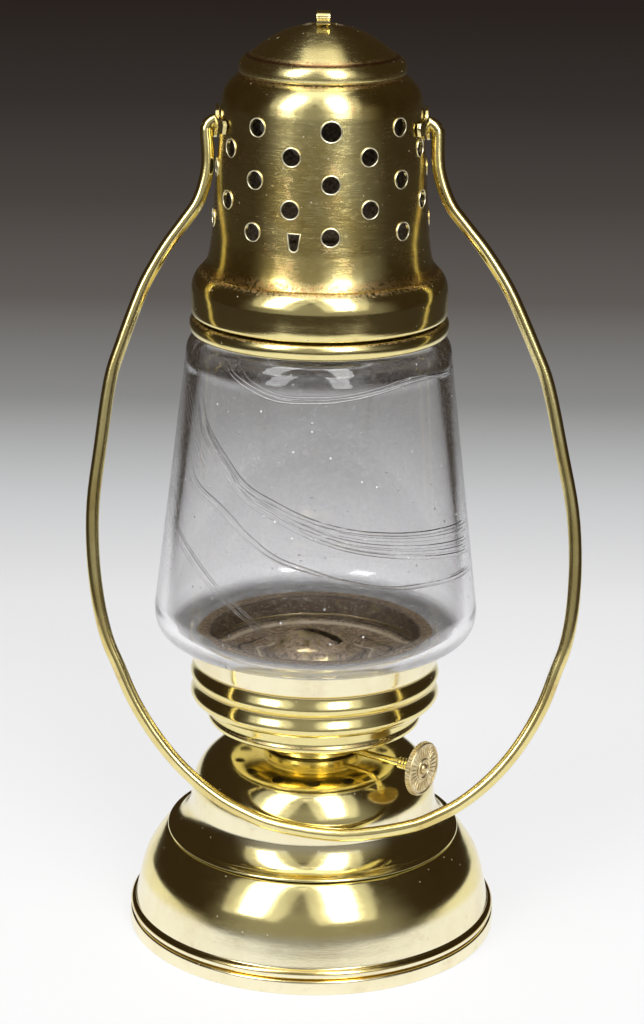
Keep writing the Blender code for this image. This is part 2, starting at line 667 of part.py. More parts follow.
def make_wick_tube():
    low = BURNER_BOTTOM - TUBE_BELOW_BURNER
    top = CONE_TOP - TUBE_BELOW_CONE
    shape = bmesh.new()
    add_box(shape, (2 * TUBE_HALF_WIDTH, 2 * TUBE_HALF_THICKNESS, top - low), wick_matrix((top + low) / 2))
    mesh = bpy.data.meshes.new("wick_tube")
    shape.to_mesh(mesh)
    shape.free()
    item = add_object("wick_tube", mesh, parts)
    bore = (2 * (TUBE_HALF_WIDTH - TUBE_WALL), 2 * (TUBE_HALF_THICKNESS - TUBE_WALL), top - low + 2 * CUT_OVERRUN)
    cut(item, box_cutter("tube_bore_cutter", bore, wick_matrix((top + low) / 2)))
    window = (SPROCKET_THICKNESS + 2 * SEAT_GAP, TUBE_HALF_THICKNESS * 2, 2 * (SPROCKET_RADIUS + SEAT_GAP))
    for name, side in (("window_cutter_inner", -1), ("window_cutter_outer", 1)):
        place = wick_matrix(WINDER_HEIGHT) @ Matrix.Translation(
            (side * SPROCKET_SPACING / 2, -TUBE_HALF_THICKNESS - WICK_THICKNESS / 4, 0))
        cut(item, box_cutter(name, window, place))
    settle(item, brass("tube_brass"))


def make_wick():
    top = CONE_TOP - WICK_BELOW_CONE
    pivot = add_empty("wick_slide", (0, 0, WICK_BOTTOM), (0, 0, WINDER_DIRECTION), parts)
    shape = bmesh.new()
    height = top - WICK_BOTTOM
    add_box(shape, (WICK_WIDTH, WICK_THICKNESS, height), Matrix.Translation((0, 0, height / 2)))
    mesh = bpy.data.meshes.new("wick")
    shape.to_mesh(mesh)
    shape.free()
    settle(add_object("wick", mesh, parts, pivot), cotton("wick_cotton"))


# Winder, built along local Z with its empty on the joint's axis

def winder_empty():
    along, across, foot = winder_axis()
    empty = add_empty("winder_pivot", foot, (0, 0, 0), parts)
    empty.rotation_mode = "QUATERNION"
    empty.rotation_quaternion = along.to_track_quat("Z", "Y")
    return empty


def make_winder():
    pivot = winder_empty()
    wheel_back = WINDER_REACH - WHEEL_THICKNESS / 2
    wheel_face = WINDER_REACH + WHEEL_THICKNESS / 2
    boss_end = wheel_back - SEAT_GAP
    boss_start = boss_end - SHAFT_BOSS_LENGTH
    inner_end = -sqrt(BURNER_RADIUS ** 2 - WINDER_OFFSET ** 2) + SHEET
    shaft = [(0, wheel_face - SEAT_GAP), (SHAFT_RADIUS, wheel_face - SEAT_GAP), (SHAFT_RADIUS, boss_end)]
    groove = SHAFT_BOSS_LENGTH / (2 * SHAFT_GROOVES + 1)
    for step in range(2 * SHAFT_GROOVES + 1):
        radius = SHAFT_BOSS_RADIUS - (SHAFT_GROOVE_DEPTH if step % 2 else 0)
        shaft += [(radius, boss_end - step * groove), (radius, boss_end - (step + 1) * groove)]
    shaft += [(SHAFT_RADIUS, boss_start), (SHAFT_RADIUS, inner_end), (0, inner_end)]
    settle(turned("winder_shaft", shaft, SHAFT_SIDES, closed=False, parent=pivot), brass("shaft_brass"))
    teeth = []
    for step in range(2 * SPROCKET_TEETH):
        turn = pi * step / SPROCKET_TEETH
        radius = SPROCKET_ROOT if step % 2 else SPROCKET_RADIUS
        teeth.append((radius * cos(turn), radius * sin(turn)))
    bore = ring_points(SHAFT_RADIUS + SEAT_GAP, SHAFT_SIDES)
    for name, side in (("wick_sprocket_inner", -1), ("wick_sprocket_outer", 1)):
        sprocket = outline_curve(name, [teeth, bore], SPROCKET_THICKNESS, pivot)
        sprocket.location = (0, 0, side * SPROCKET_SPACING / 2)
        settle(sprocket, brass(name + "_brass"))
    rim = []
    for step in range(2 * WHEEL_FLUTES):
        turn = pi * step / WHEEL_FLUTES
        radius = WHEEL_RADIUS - (WHEEL_FLUTE_DEPTH if step % 2 else 0)
        rim.append((radius * cos(turn), radius * sin(turn)))
    wheel = outline_curve("thumbwheel", [rim, bore], WHEEL_THICKNESS, pivot)
    wheel.location = (0, 0, WINDER_REACH)
    settle(wheel, brass("wheel_brass"))
    low = wheel_face + SEAT_GAP
    hub = [(0, low + HUB_HEIGHT), (HUB_RADIUS / 2, low + HUB_HEIGHT), (HUB_RADIUS, low + HUB_HEIGHT / 3),
           (HUB_RADIUS, low), (0, low)]
    settle(turned("thumbwheel_hub", hub, SMALL_SIDES, closed=False, parent=pivot), brass("hub_brass"))


# Globe

def make_globe():
    settle(turned("glass_globe", globe_outer() + globe_inner(), LARGE_SIDES), clear_glass("globe_glass"))
    band_top = collar_band_top()
    band = [(COLLAR_BAND_RADIUS - THIN_SHEET, band_top), (COLLAR_BAND_RADIUS, band_top)]
    outer = [(COLLAR_BAND_RADIUS, LEDGE_BOTTOM - COLLAR_BELOW_LEDGE + COLLAR_CREASE_DEPTH)] + collar_beads(0)
    inner = list(reversed(collar_beads(THIN_SHEET)))
    chamber = COLLAR_BAND_RADIUS - THIN_SHEET
    ledge = [(inner[-1][0], LEDGE_BOTTOM), (COLLAR_LEDGE_RADIUS, LEDGE_BOTTOM),
             (COLLAR_LEDGE_RADIUS, LEDGE_TOP), (chamber, LEDGE_TOP)]
    settle(turned("lower_globe_collar", band + outer + inner + ledge, LARGE_SIDES), brass("globe_collar_brass"))

    bead_radius = RING_RADIUS - RING_BEAD_BULGE
    spigot_top = RING_TOP + RING_SPIGOT_HEIGHT
    spigot_bore = RING_SPIGOT_RADIUS - THIN_SHEET
    roll_outer = bead(bead_radius, RING_TOP, RING_TOP - RING_BEAD_HEIGHT, RING_BEAD_BULGE)
    roll_inner = bead(bead_radius - THIN_SHEET, RING_LEDGE_BOTTOM, RING_TOP - RING_BEAD_HEIGHT + THIN_SHEET / 2,
                      RING_BEAD_BULGE)
    ring = ([(spigot_bore, spigot_top), (RING_SPIGOT_RADIUS, spigot_top), (RING_SPIGOT_RADIUS, RING_TOP)]
            + roll_outer + list(reversed(roll_inner)) + [(spigot_bore, RING_LEDGE_BOTTOM)])
    settle(turned("upper_globe_ring", ring, LARGE_SIDES), brass("globe_ring_brass"))

    rings = (("lower_plaster", GLOBE_NECK_RADIUS + SEAT_GAP, chamber - SEAT_GAP,
              LEDGE_TOP + SEAT_GAP, band_top - SEAT_GAP),
             ("upper_plaster", GLOBE_TOP_NECK_RADIUS + SEAT_GAP, bead_radius - THIN_SHEET - SEAT_GAP,
              RING_TOP - RING_BEAD_HEIGHT + SEAT_GAP * 2, RING_LEDGE_BOTTOM - SEAT_GAP))
    for name, inner_radius, outer_radius, low, high in rings:
        loop = [(inner_radius, high), (outer_radius, high), (outer_radius, low), (inner_radius, low)]
        settle(turned(name, loop, LARGE_SIDES), plaster(name + "_white"))


# Cap

def perforation_cutters():
    shape = bmesh.new()
    radius = WALL_BASE_RADIUS
    length = 2 * (SHEET + CUT_OVERRUN + WALL_BASE_RADIUS - WALL_TOP_RADIUS)
    ear_turn = EAR_HALF_SPAN / WALL_TOP_RADIUS
    for row in range(HOLE_ROWS):
        height = WALL_TOP - HOLE_TOP_DROP - row * HOLE_ROW_SPACING
        shift = HOLE_FIRST_TURN + (HOLE_PITCH / 2 if row % 2 else 0)
        for column in range(HOLES_PER_ROW):
            turn = shift + HOLE_PITCH * (column - HOLES_PER_ROW // 2)
            beside_ear = abs(cos(turn)) < sin(ear_turn)
            level_with_ear = abs(height - PIVOT_HEIGHT) < EAR_LOBE_RADIUS
            if not (beside_ear and level_with_ear):
                add_cylinder(shape, HOLE_RADIUS, length, HOLE_SIDES, radial_matrix(turn, radius, height))
    for side in (-1, 1):
        place = radial_matrix(side * pi / 2, radius, PIVOT_HEIGHT)
        add_cylinder(shape, BAIL_WIRE_RADIUS + SEAT_GAP, length, HOLE_SIDES, place)
    return cutter_from("perforation_cutters", shape)


def odd_hole_cutter():
    # one stray punch mark: straight above, half round below
    curve = bpy.data.curves.new("odd_hole_outline", "CURVE")
    curve.dimensions = "2D"
    curve.fill_mode = "BOTH"
    curve.extrude = SHEET + CUT_OVERRUN
    half = ODD_HOLE_WIDTH / 2
    ring = [(half, ODD_HOLE_HEIGHT - half), (-half, ODD_HOLE_HEIGHT - half)]
    for step in range(HOLE_SIDES // 2 + 1):
        turn = pi + pi * step / (HOLE_SIDES // 2)
        ring.append((half * cos(turn), half * sin(turn)))
    spline = curve.splines.new("POLY")
    spline.points.add(len(ring) - 1)
    spline.use_cyclic_u = True
    for point, (x, y) in zip(spline.points, ring):
        point.co = (x, y, 0, 1)
    item = add_object("odd_hole_outline", curve, cutters)
    height = WALL_TOP - ODD_HOLE_DROP
    outward = Vector((sin(ODD_HOLE_TURN), -cos(ODD_HOLE_TURN), 0))
    item.location = outward * radius_at(wall_profile(), height) + Vector((0, 0, height - ODD_HOLE_HEIGHT / 2 + half))
    item.rotation_euler = (pi / 2, 0, ODD_HOLE_TURN)
    bpy.context.view_layer.update()
    mesh = bpy.data.meshes.new_from_object(item.evaluated_get(bpy.context.evaluated_depsgraph_get()))
    weld(mesh)
    tool = add_object("odd_hole_cutter", mesh, cutters)
    tool.matrix_world = item.matrix_world.copy()
    tool.hide_render = True
    tool.display_type = "WIRE"
    bpy.data.objects.remove(item, do_unlink=True)
    return tool


def make_cap():
    settle(turned("chimney_band", band_profile(), LARGE_SIDES, False, THIN_SHEET), brass("band_brass"))
    wall = turned("chimney_wall", wall_profile(), LARGE_SIDES, False, SHEET)
    cut(wall, perforation_cutters())
    cut(wall, odd_hole_cutter())
    settle(wall, brass("chimney_brass"))
    dome = turned("dome_cap", dome_profile(), LARGE_SIDES, False, SHEET)
    shape = bmesh.new()
    for side in (-1, 1):
        place = Matrix.Translation((side * VENT_SPACING / 2, 0, DOME_TOP))
        add_cylinder(shape, VENT_RADIUS, 2 * CUT_OVERRUN, HOLE_SIDES, place)
    cut(dome, cutter_from("vent_cutters", shape))
    settle(dome, brass("dome_brass"))
    make_loop()


def make_loop():
    # a bent strap that runs front to back over the dome's top
    foot_end = LOOP_HALF_SPAN + LOOP_FOOT_LENGTH
    foot_top = DOME_TOP + SEAT_GAP + LOOP_SHEET
    half = [(foot_end, foot_top), (LOOP_HALF_SPAN + LOOP_SHEET / 2, foot_top)]
    for step in range(LOOP_ARCH_SPANS + 1):
        turn = pi * step / LOOP_ARCH_SPANS
        half.append((LOOP_HALF_SPAN * cos(turn), foot_top + LOOP_SHEET / 2
                     + (LOOP_HEIGHT - LOOP_SHEET) * sin(turn)))
    path = half + [(-across, height) for across, height in reversed(half[:2])]
    shape = bmesh.new()
    rows = []
    for across, height in path:
        rows.append([shape.verts.new((side * LOOP_WIDTH / 2, across, height)) for side in (-1, 1)])
    for near, far in zip(rows, rows[1:]):
        shape.faces.new((near[0], near[1], far[1], far[0]))
    bmesh.ops.recalc_face_normals(shape, faces=shape.faces)
    mesh = bpy.data.meshes.new("top_loop")
    shape.to_mesh(mesh)
    shape.free()
    if mesh.polygons[0].normal.z < 0:
        mesh.flip_normals()
    item = add_object("top_loop", mesh, parts)
    solidify = item.modifiers.new("sheet", "SOLIDIFY")
    solidify.thickness = LOOP_SHEET
    solidify.offset = -1
    solidify.use_even_offset = True
    settle(item, brass("loop_brass"))


# Bail and its ears

def ear_outline():
    # a round lobe about the pivot with a wing on each side
    wing_top = EAR_WING_HEIGHT / 2
    start = asin(wing_top / EAR_LOBE_RADIUS)
    upper = []
    for step in range(EAR_LOBE_SPANS + 1):
        turn = start + (pi - 2 * start) * step / EAR_LOBE_SPANS
        upper.append((EAR_LOBE_RADIUS * cos(turn), EAR_LOBE_RADIUS * sin(turn)))
    corner = wing_top / 2
    right = [(EAR_HALF_SPAN - corner, -wing_top), (EAR_HALF_SPAN, -corner), (EAR_HALF_SPAN, corner),
             (EAR_HALF_SPAN - corner, wing_top)]
    left = [(-x, y) for x, y in reversed(right)]
    lower = [(x, -y) for x, y in reversed(upper)]
    return right + upper + left + lower


def ear_plate(side):
    # the flat outline, pushed through the wall so that a shell round the wall can trim it
    shape = bmesh.new()
    far = WALL_BASE_RADIUS + CUT_OVERRUN
    outline = ear_outline()
    inner = [shape.verts.new((0, y, PIVOT_HEIGHT + z)) for y, z in outline]
    outer = [shape.verts.new((side * far, y, PIVOT_HEIGHT + z)) for y, z in outline]
    shape.faces.new(inner)
    shape.faces.new(outer)
    for step in range(len(outline)):
        following = (step + 1) % len(outline)
        shape.faces.new((inner[step], inner[following], outer[following], outer[step]))
    bmesh.ops.recalc_face_normals(shape, faces=shape.faces)
    return shape


def make_ears():
    profile = wall_profile()
    reach = EAR_LOBE_RADIUS + CUT_OVERRUN
    high, low = PIVOT_HEIGHT + reach, PIVOT_HEIGHT - reach
    high = min(high, WALL_TOP - WALL_SHOULDER_HEIGHT)
    top_radius = radius_at(profile, high) + SEAT_GAP
    low_radius = radius_at(profile, low) + SEAT_GAP
    shape = bmesh.new()
    add_cylinder(shape, BAIL_WIRE_RADIUS + SEAT_GAP, 4 * WALL_BASE_RADIUS, HOLE_SIDES,
                 Matrix.Translation((0, 0, PIVOT_HEIGHT)) @ Matrix.Rotation(pi / 2, 4, "Y"))
    holes = cutter_from("ear_hole_cutter", shape)
    for name, side in (("bail_ear_left", -1), ("bail_ear_right", 1)):
        shell = [(top_radius, high), (top_radius + EAR_THICKNESS, high),
                 (low_radius + EAR_THICKNESS, low), (low_radius, low)]
        item = turned(name, shell, LARGE_SIDES)
        trim = item.modifiers.new("trim", "BOOLEAN")
        trim.operation = "INTERSECT"
        trim.object = cutter_from(name + "_trim", ear_plate(side))
        cut(item, holes)
        settle(item, brass(name + "_brass"))


def bail_lean():
    # the least lean from upright at which the wire's crown clears everything it could rest on
    outlines = [foot_profile(), font_profile(), gallery_profile(),
                [(COLLAR_BAND_RADIUS, collar_band_top())] + collar_beads(0), globe_outer()]
    wanted = BAIL_WIRE_RADIUS + SEAT_GAP

    def clearance(lean):
        crown = (BAIL_DROP * sin(lean), PIVOT_HEIGHT - BAIL_DROP * cos(lean))
        return min(distance_to_segment(crown, near, far)
                   for outline in outlines for near, far in zip(outline, outline[1:]))

    steps = 900
    lean = pi / 2
    while lean > 0 and clearance(lean) > wanted:
        lean -= pi / 2 / steps
    low, high = lean, lean + pi / 2 / steps
    for _ in range(40):
        middle = (low + high) / 2
        if clearance(middle) > wanted:
            high = middle
        else:
            low = middle
    return high


def bail_points():
    # local X across, local Z down the leg from the pivot; right half first, then mirrored
    wall = radius_at(wall_profile(), PIVOT_HEIGHT)
    leg = wall + SEAT_GAP + EAR_THICKNESS + SEAT_GAP + BAIL_WIRE_RADIUS
    half = [(wall - SHEET - BAIL_END_INSIDE, 0)]
    for step in range(BEAD_SPANS + 1):
        turn = pi / 2 * step / BEAD_SPANS
        half.append((leg - BAIL_HOOK_RADIUS + BAIL_HOOK_RADIUS * sin(turn),
                     BAIL_HOOK_RADIUS * (1 - cos(turn))))
    half.append((leg, BAIL_LEG_LENGTH))
    half += [(between(leg, BAIL_HALF_WIDTH, width), drop * BAIL_DROP) for width, drop in BAIL_UPPER_SHARES]
    half += [(width * BAIL_HALF_WIDTH, drop * BAIL_DROP) for width, drop in BAIL_LOWER_SHARES]
    right = [(x + BAIL_SKEW_SHARE * drop, -drop) for x, drop in half]
    left = [(-x + BAIL_SKEW_SHARE * drop, -drop) for x, drop in half]
    crown = [(BAIL_SKEW_SHARE * BAIL_DROP, -BAIL_DROP)]
    return left + crown + list(reversed(right))


def make_bail():
    pivot = add_empty("bail_pivot", (0, 0, PIVOT_HEIGHT), (-bail_lean(), 0, 0), parts)
    curve = bpy.data.curves.new("bail_wire", "CURVE")
    curve.dimensions = "3D"
    curve.bevel_depth = BAIL_WIRE_RADIUS
    curve.bevel_resolution = 2
    curve.use_fill_caps = True
    route = bail_points()
    spline = curve.splines.new("POLY")
    spline.points.add(len(route) - 1)
    for point, (x, z) in zip(spline.points, route):
        point.co = (x, 0, z, 1)
    settle(add_object("bail_wire", curve, parts, pivot), brass("bail_brass"))


clear_scene()
parts = new_collection("hurricane_lamp")
cutters = new_collection("cutters")
make_foot()
make_font()
make_burner_body()
make_gallery()
make_cone()
make_wick_tube()
make_wick()
make_winder()
make_globe()
make_cap()
make_ears()
make_bail()
bpy.context.view_layer.update()
print("bail leans", round(degrees(bail_lean()), 3), "degrees, winder height", round(WINDER_HEIGHT, 5))
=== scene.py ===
import bmesh
import bpy
from math import acos, atan2, ceil, cos, hypot, pi, radians, sin
from mathutils import Matrix, Vector


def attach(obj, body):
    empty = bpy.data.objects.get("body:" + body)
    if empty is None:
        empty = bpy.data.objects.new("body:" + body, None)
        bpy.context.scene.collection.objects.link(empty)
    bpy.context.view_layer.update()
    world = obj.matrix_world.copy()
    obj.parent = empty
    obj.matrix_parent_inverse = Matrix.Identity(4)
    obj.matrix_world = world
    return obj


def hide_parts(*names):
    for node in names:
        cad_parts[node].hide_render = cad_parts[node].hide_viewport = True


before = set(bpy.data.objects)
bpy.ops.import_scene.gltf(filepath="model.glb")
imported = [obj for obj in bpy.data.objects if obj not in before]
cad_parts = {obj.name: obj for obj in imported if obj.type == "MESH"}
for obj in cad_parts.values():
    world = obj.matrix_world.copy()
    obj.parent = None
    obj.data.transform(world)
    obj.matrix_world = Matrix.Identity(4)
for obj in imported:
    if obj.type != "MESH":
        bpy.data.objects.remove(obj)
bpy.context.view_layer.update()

mm = 0.001
latheSides = 160
outlineStep = 0.7 * mm
cornerSteps = 4
madePieces = {}


# Outlines, as (radius, height) points

def splineLine(points, steps=6):
    # a smooth line through its points
    out = []
    for i in range(len(points) - 1):
        p1, p2 = Vector(points[i]), Vector(points[i + 1])
        p0 = Vector(points[i - 1]) if i else p1 * 2 - p2
        p3 = Vector(points[i + 2]) if i + 2 < len(points) else p2 * 2 - p1
        for k in range(steps):
            t = k / steps
            v = ((p1 * 2) + (p2 - p0) * t + (p0 * 2 - p1 * 5 + p2 * 4 - p3) * t * t
                 + (p1 * 3 - p0 - p2 * 3 + p3) * t * t * t) * 0.5
            out.append(tuple(v))
    out.append(tuple(points[-1]))
    return out


def halfBead(radius, top, bottom, bulge, steps=12):
    return [(radius + bulge * sin(pi * k / steps), top + (bottom - top) * (1 - cos(pi * k / steps)) / 2)
            for k in range(steps + 1)]


def droopBead(radius, top, bottom, bulge, steps=14):
    # fullest a little below its middle, like a rolled thread
    return [(radius + bulge * sin(pi * (k / steps) ** 1.6), top + (bottom - top) * k / steps)
            for k in range(steps + 1)]


def inMetres(points):
    return [(r * mm, z * mm) for r, z in points]


def soften(points, radius, closed=False):
    # every real corner becomes a small arc
    out = []
    count = len(points)
    for i, here in enumerate(points):
        if not closed and i in (0, count - 1):
            out.append(here)
            continue
        p, a, b = Vector(here), Vector(points[i - 1]), Vector(points[(i + 1) % count])
        u, v = a - p, b - p
        if u.length < 1e-7 or v.length < 1e-7:
            continue
        turn = pi - acos(max(-1, min(1, u.normalized().dot(v.normalized()))))
        if turn < radians(16) or (p.x < 1e-7):
            out.append(here)
            continue
        cut = min(radius, u.length * 0.45, v.length * 0.45)
        start, end = p + u.normalized() * cut, p + v.normalized() * cut
        for k in range(cornerSteps + 1):
            t = k / cornerSteps
            out.append(tuple(start * (1 - t) ** 2 + p * 2 * t * (1 - t) + end * t * t))
    return out


def dense(points, closed=False):
    out = []
    pairs = list(zip(points, points[1:] + points[:1])) if closed else list(zip(points, points[1:]))
    for a, b in pairs:
        pieces = max(1, ceil(hypot(b[0] - a[0], b[1] - a[1]) / outlineStep))
        out += [(a[0] + (b[0] - a[0]) * k / pieces, a[1] + (b[1] - a[1]) * k / pieces) for k in range(pieces)]
    return out if closed else out + [points[-1]]


def sheetLoop(outer, thickness):
    # closed loop: the outer line, top to bottom, and the same line moved inwards by the sheet
    inner = []
    for i, p in enumerate(outer):
        a, b = Vector(outer[max(0, i - 1)]), Vector(outer[min(len(outer) - 1, i + 1)])
        along = (b - a).normalized()
        inward = Vector((along.y, -along.x))
        moved = Vector(p) + inward * thickness
        inner.append((max(0.0, moved.x), moved.y))
    return outer + inner[::-1]


# Meshes

def newPiece(name, mesh):
    piece = bpy.data.objects.new(name, mesh)
    bpy.context.scene.collection.objects.link(piece)
    return piece


def latheMesh(name, loop, sides=latheSides, closed=True, warp=None):
    # a loop runs down the outer side and up the inner one, so its faces point outwards
    shape = bmesh.new()
    rings = []
    for r, z in loop:
        if r < 1e-7:
            rings.append([shape.verts.new((0, 0, z))])
            continue
        rings.append([shape.verts.new((r * cos(2 * pi * k / sides), r * sin(2 * pi * k / sides), z))
                      for k in range(sides)])
    pairs = list(zip(rings, rings[1:] + rings[:1])) if closed else list(zip(rings, rings[1:]))
    for upper, lower in pairs:
        for k in range(sides):
            n = (k + 1) % sides
            corners = [upper[k % len(upper)], lower[k % len(lower)], lower[n % len(lower)], upper[n % len(upper)]]
            unique = list(dict.fromkeys(corners))
            if len(unique) > 2:
                shape.faces.new(unique)
    bmesh.ops.remove_doubles(shape, verts=shape.verts, dist=1e-7)
    bmesh.ops.recalc_face_normals(shape, faces=shape.faces)
    if warp:
        for vertex in shape.verts:
            vertex.co = warp(vertex.co)
    mesh = bpy.data.meshes.new(name)
    shape.to_mesh(mesh)
    shape.free()
    mesh.shade_smooth()
    return mesh


def evaluatedMesh(piece):
    bpy.context.view_layer.update()
    mesh = bpy.data.meshes.new_from_object(piece.evaluated_get(bpy.context.evaluated_depsgraph_get()))
    piece.modifiers.clear()
    piece.data = mesh
    mesh.shade_smooth()
    mesh.set_sharp_from_angle(angle=radians(38))
    return piece


def settle(piece, body, slotName, material, *nodes):
    if material is not None:
        piece.data.materials.clear()
        piece.data.materials.append(material)
    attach(piece, body)
    if nodes:
        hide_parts(*nodes)
    madePieces[piece.name] = piece
    return piece


def cutAway(piece, tool):
    modifier = piece.modifiers.new("cut", "BOOLEAN")
    modifier.operation = "DIFFERENCE"
    modifier.object = tool
    modifier.solver = "EXACT"


def keepWithin(piece, tool):
    cutAway(piece, tool)
    piece.modifiers[-1].operation = "INTERSECT"


def sootInside(piece, soot):
    # faces that look back at the lamp's axis take the second material
    piece.data.materials.append(soot)
    for face in piece.data.polygons:
        centre = face.center
        across = hypot(centre.x, centre.y)
        if across > 1e-6 and (centre.x * face.normal.x + centre.y * face.normal.y) / across < -0.25:
            face.material_index = 1
        elif face.normal.z < -0.6 and across < 21 * mm:
            face.material_index = 1


def discard(*items):
    for item in items:
        bpy.data.objects.remove(item, do_unlink=True)


# Node helpers, for materials and for geometry

def put(tree, kind, inputs=None, **settings):
    made = tree.nodes.new(kind)
    for key, value in settings.items():
        setattr(made, key, value)
    for key, value in (inputs or {}).items():
        if isinstance(value, bpy.types.NodeSocket):
            tree.links.new(value, made.inputs[key])
        else:
            made.inputs[key].default_value = value
    return made


def calc(tree, operation, a, b=0.0, c=0.0, clamp=False):
    made = put(tree, "ShaderNodeMath", {0: a, 1: b, 2: c}, operation=operation)
    made.use_clamp = clamp
    return made.outputs[0]


def blendColour(tree, factor, a, b):
    made = put(tree, "ShaderNodeMix", {"Factor": factor}, data_type="RGBA")
    for index, value in ((6, a), (7, b)):
        if isinstance(value, bpy.types.NodeSocket):
            tree.links.new(value, made.inputs[index])
        else:
            made.inputs[index].default_value = (*value, 1.0)
    return made.outputs[2]


def fade(tree, value, low, high, start=0.0, end=1.0):
    made = put(tree, "ShaderNodeMapRange", {0: value, 1: low, 2: high, 3: start, 4: end}, clamp=True)
    made.interpolation_type = "SMOOTHSTEP"
    return made.outputs[0]


def grain(tree, vector, scale, detail=2.0, roughness=0.5, distortion=0.0):
    return put(tree, "ShaderNodeTexNoise", {"Vector": vector, "Scale": scale, "Detail": detail,
                                           "Roughness": roughness, "Distortion": distortion}).outputs[0]


def stretched(tree, vector, x, y, z):
    return put(tree, "ShaderNodeVectorMath", {0: vector, 1: (x, y, z)}, operation="MULTIPLY").outputs[0]


def newMaterial(name):
    material = bpy.data.materials.new(name)
    material.use_nodes = True
    tree = material.node_tree
    return material, tree, tree.nodes["Principled BSDF"], put(tree, "ShaderNodeTexCoord").outputs["Object"]


# Brass

brassTone = {"bright": (0.90, 0.79, 0.37), "deep": (0.70, 0.54, 0.18), "pale": (0.97, 0.90, 0.64),
             "copper": (0.46, 0.20, 0.09), "shadeAndResidueLines": (0.36, 0.24, 0.12), "dust": (0.66, 0.58, 0.44)}


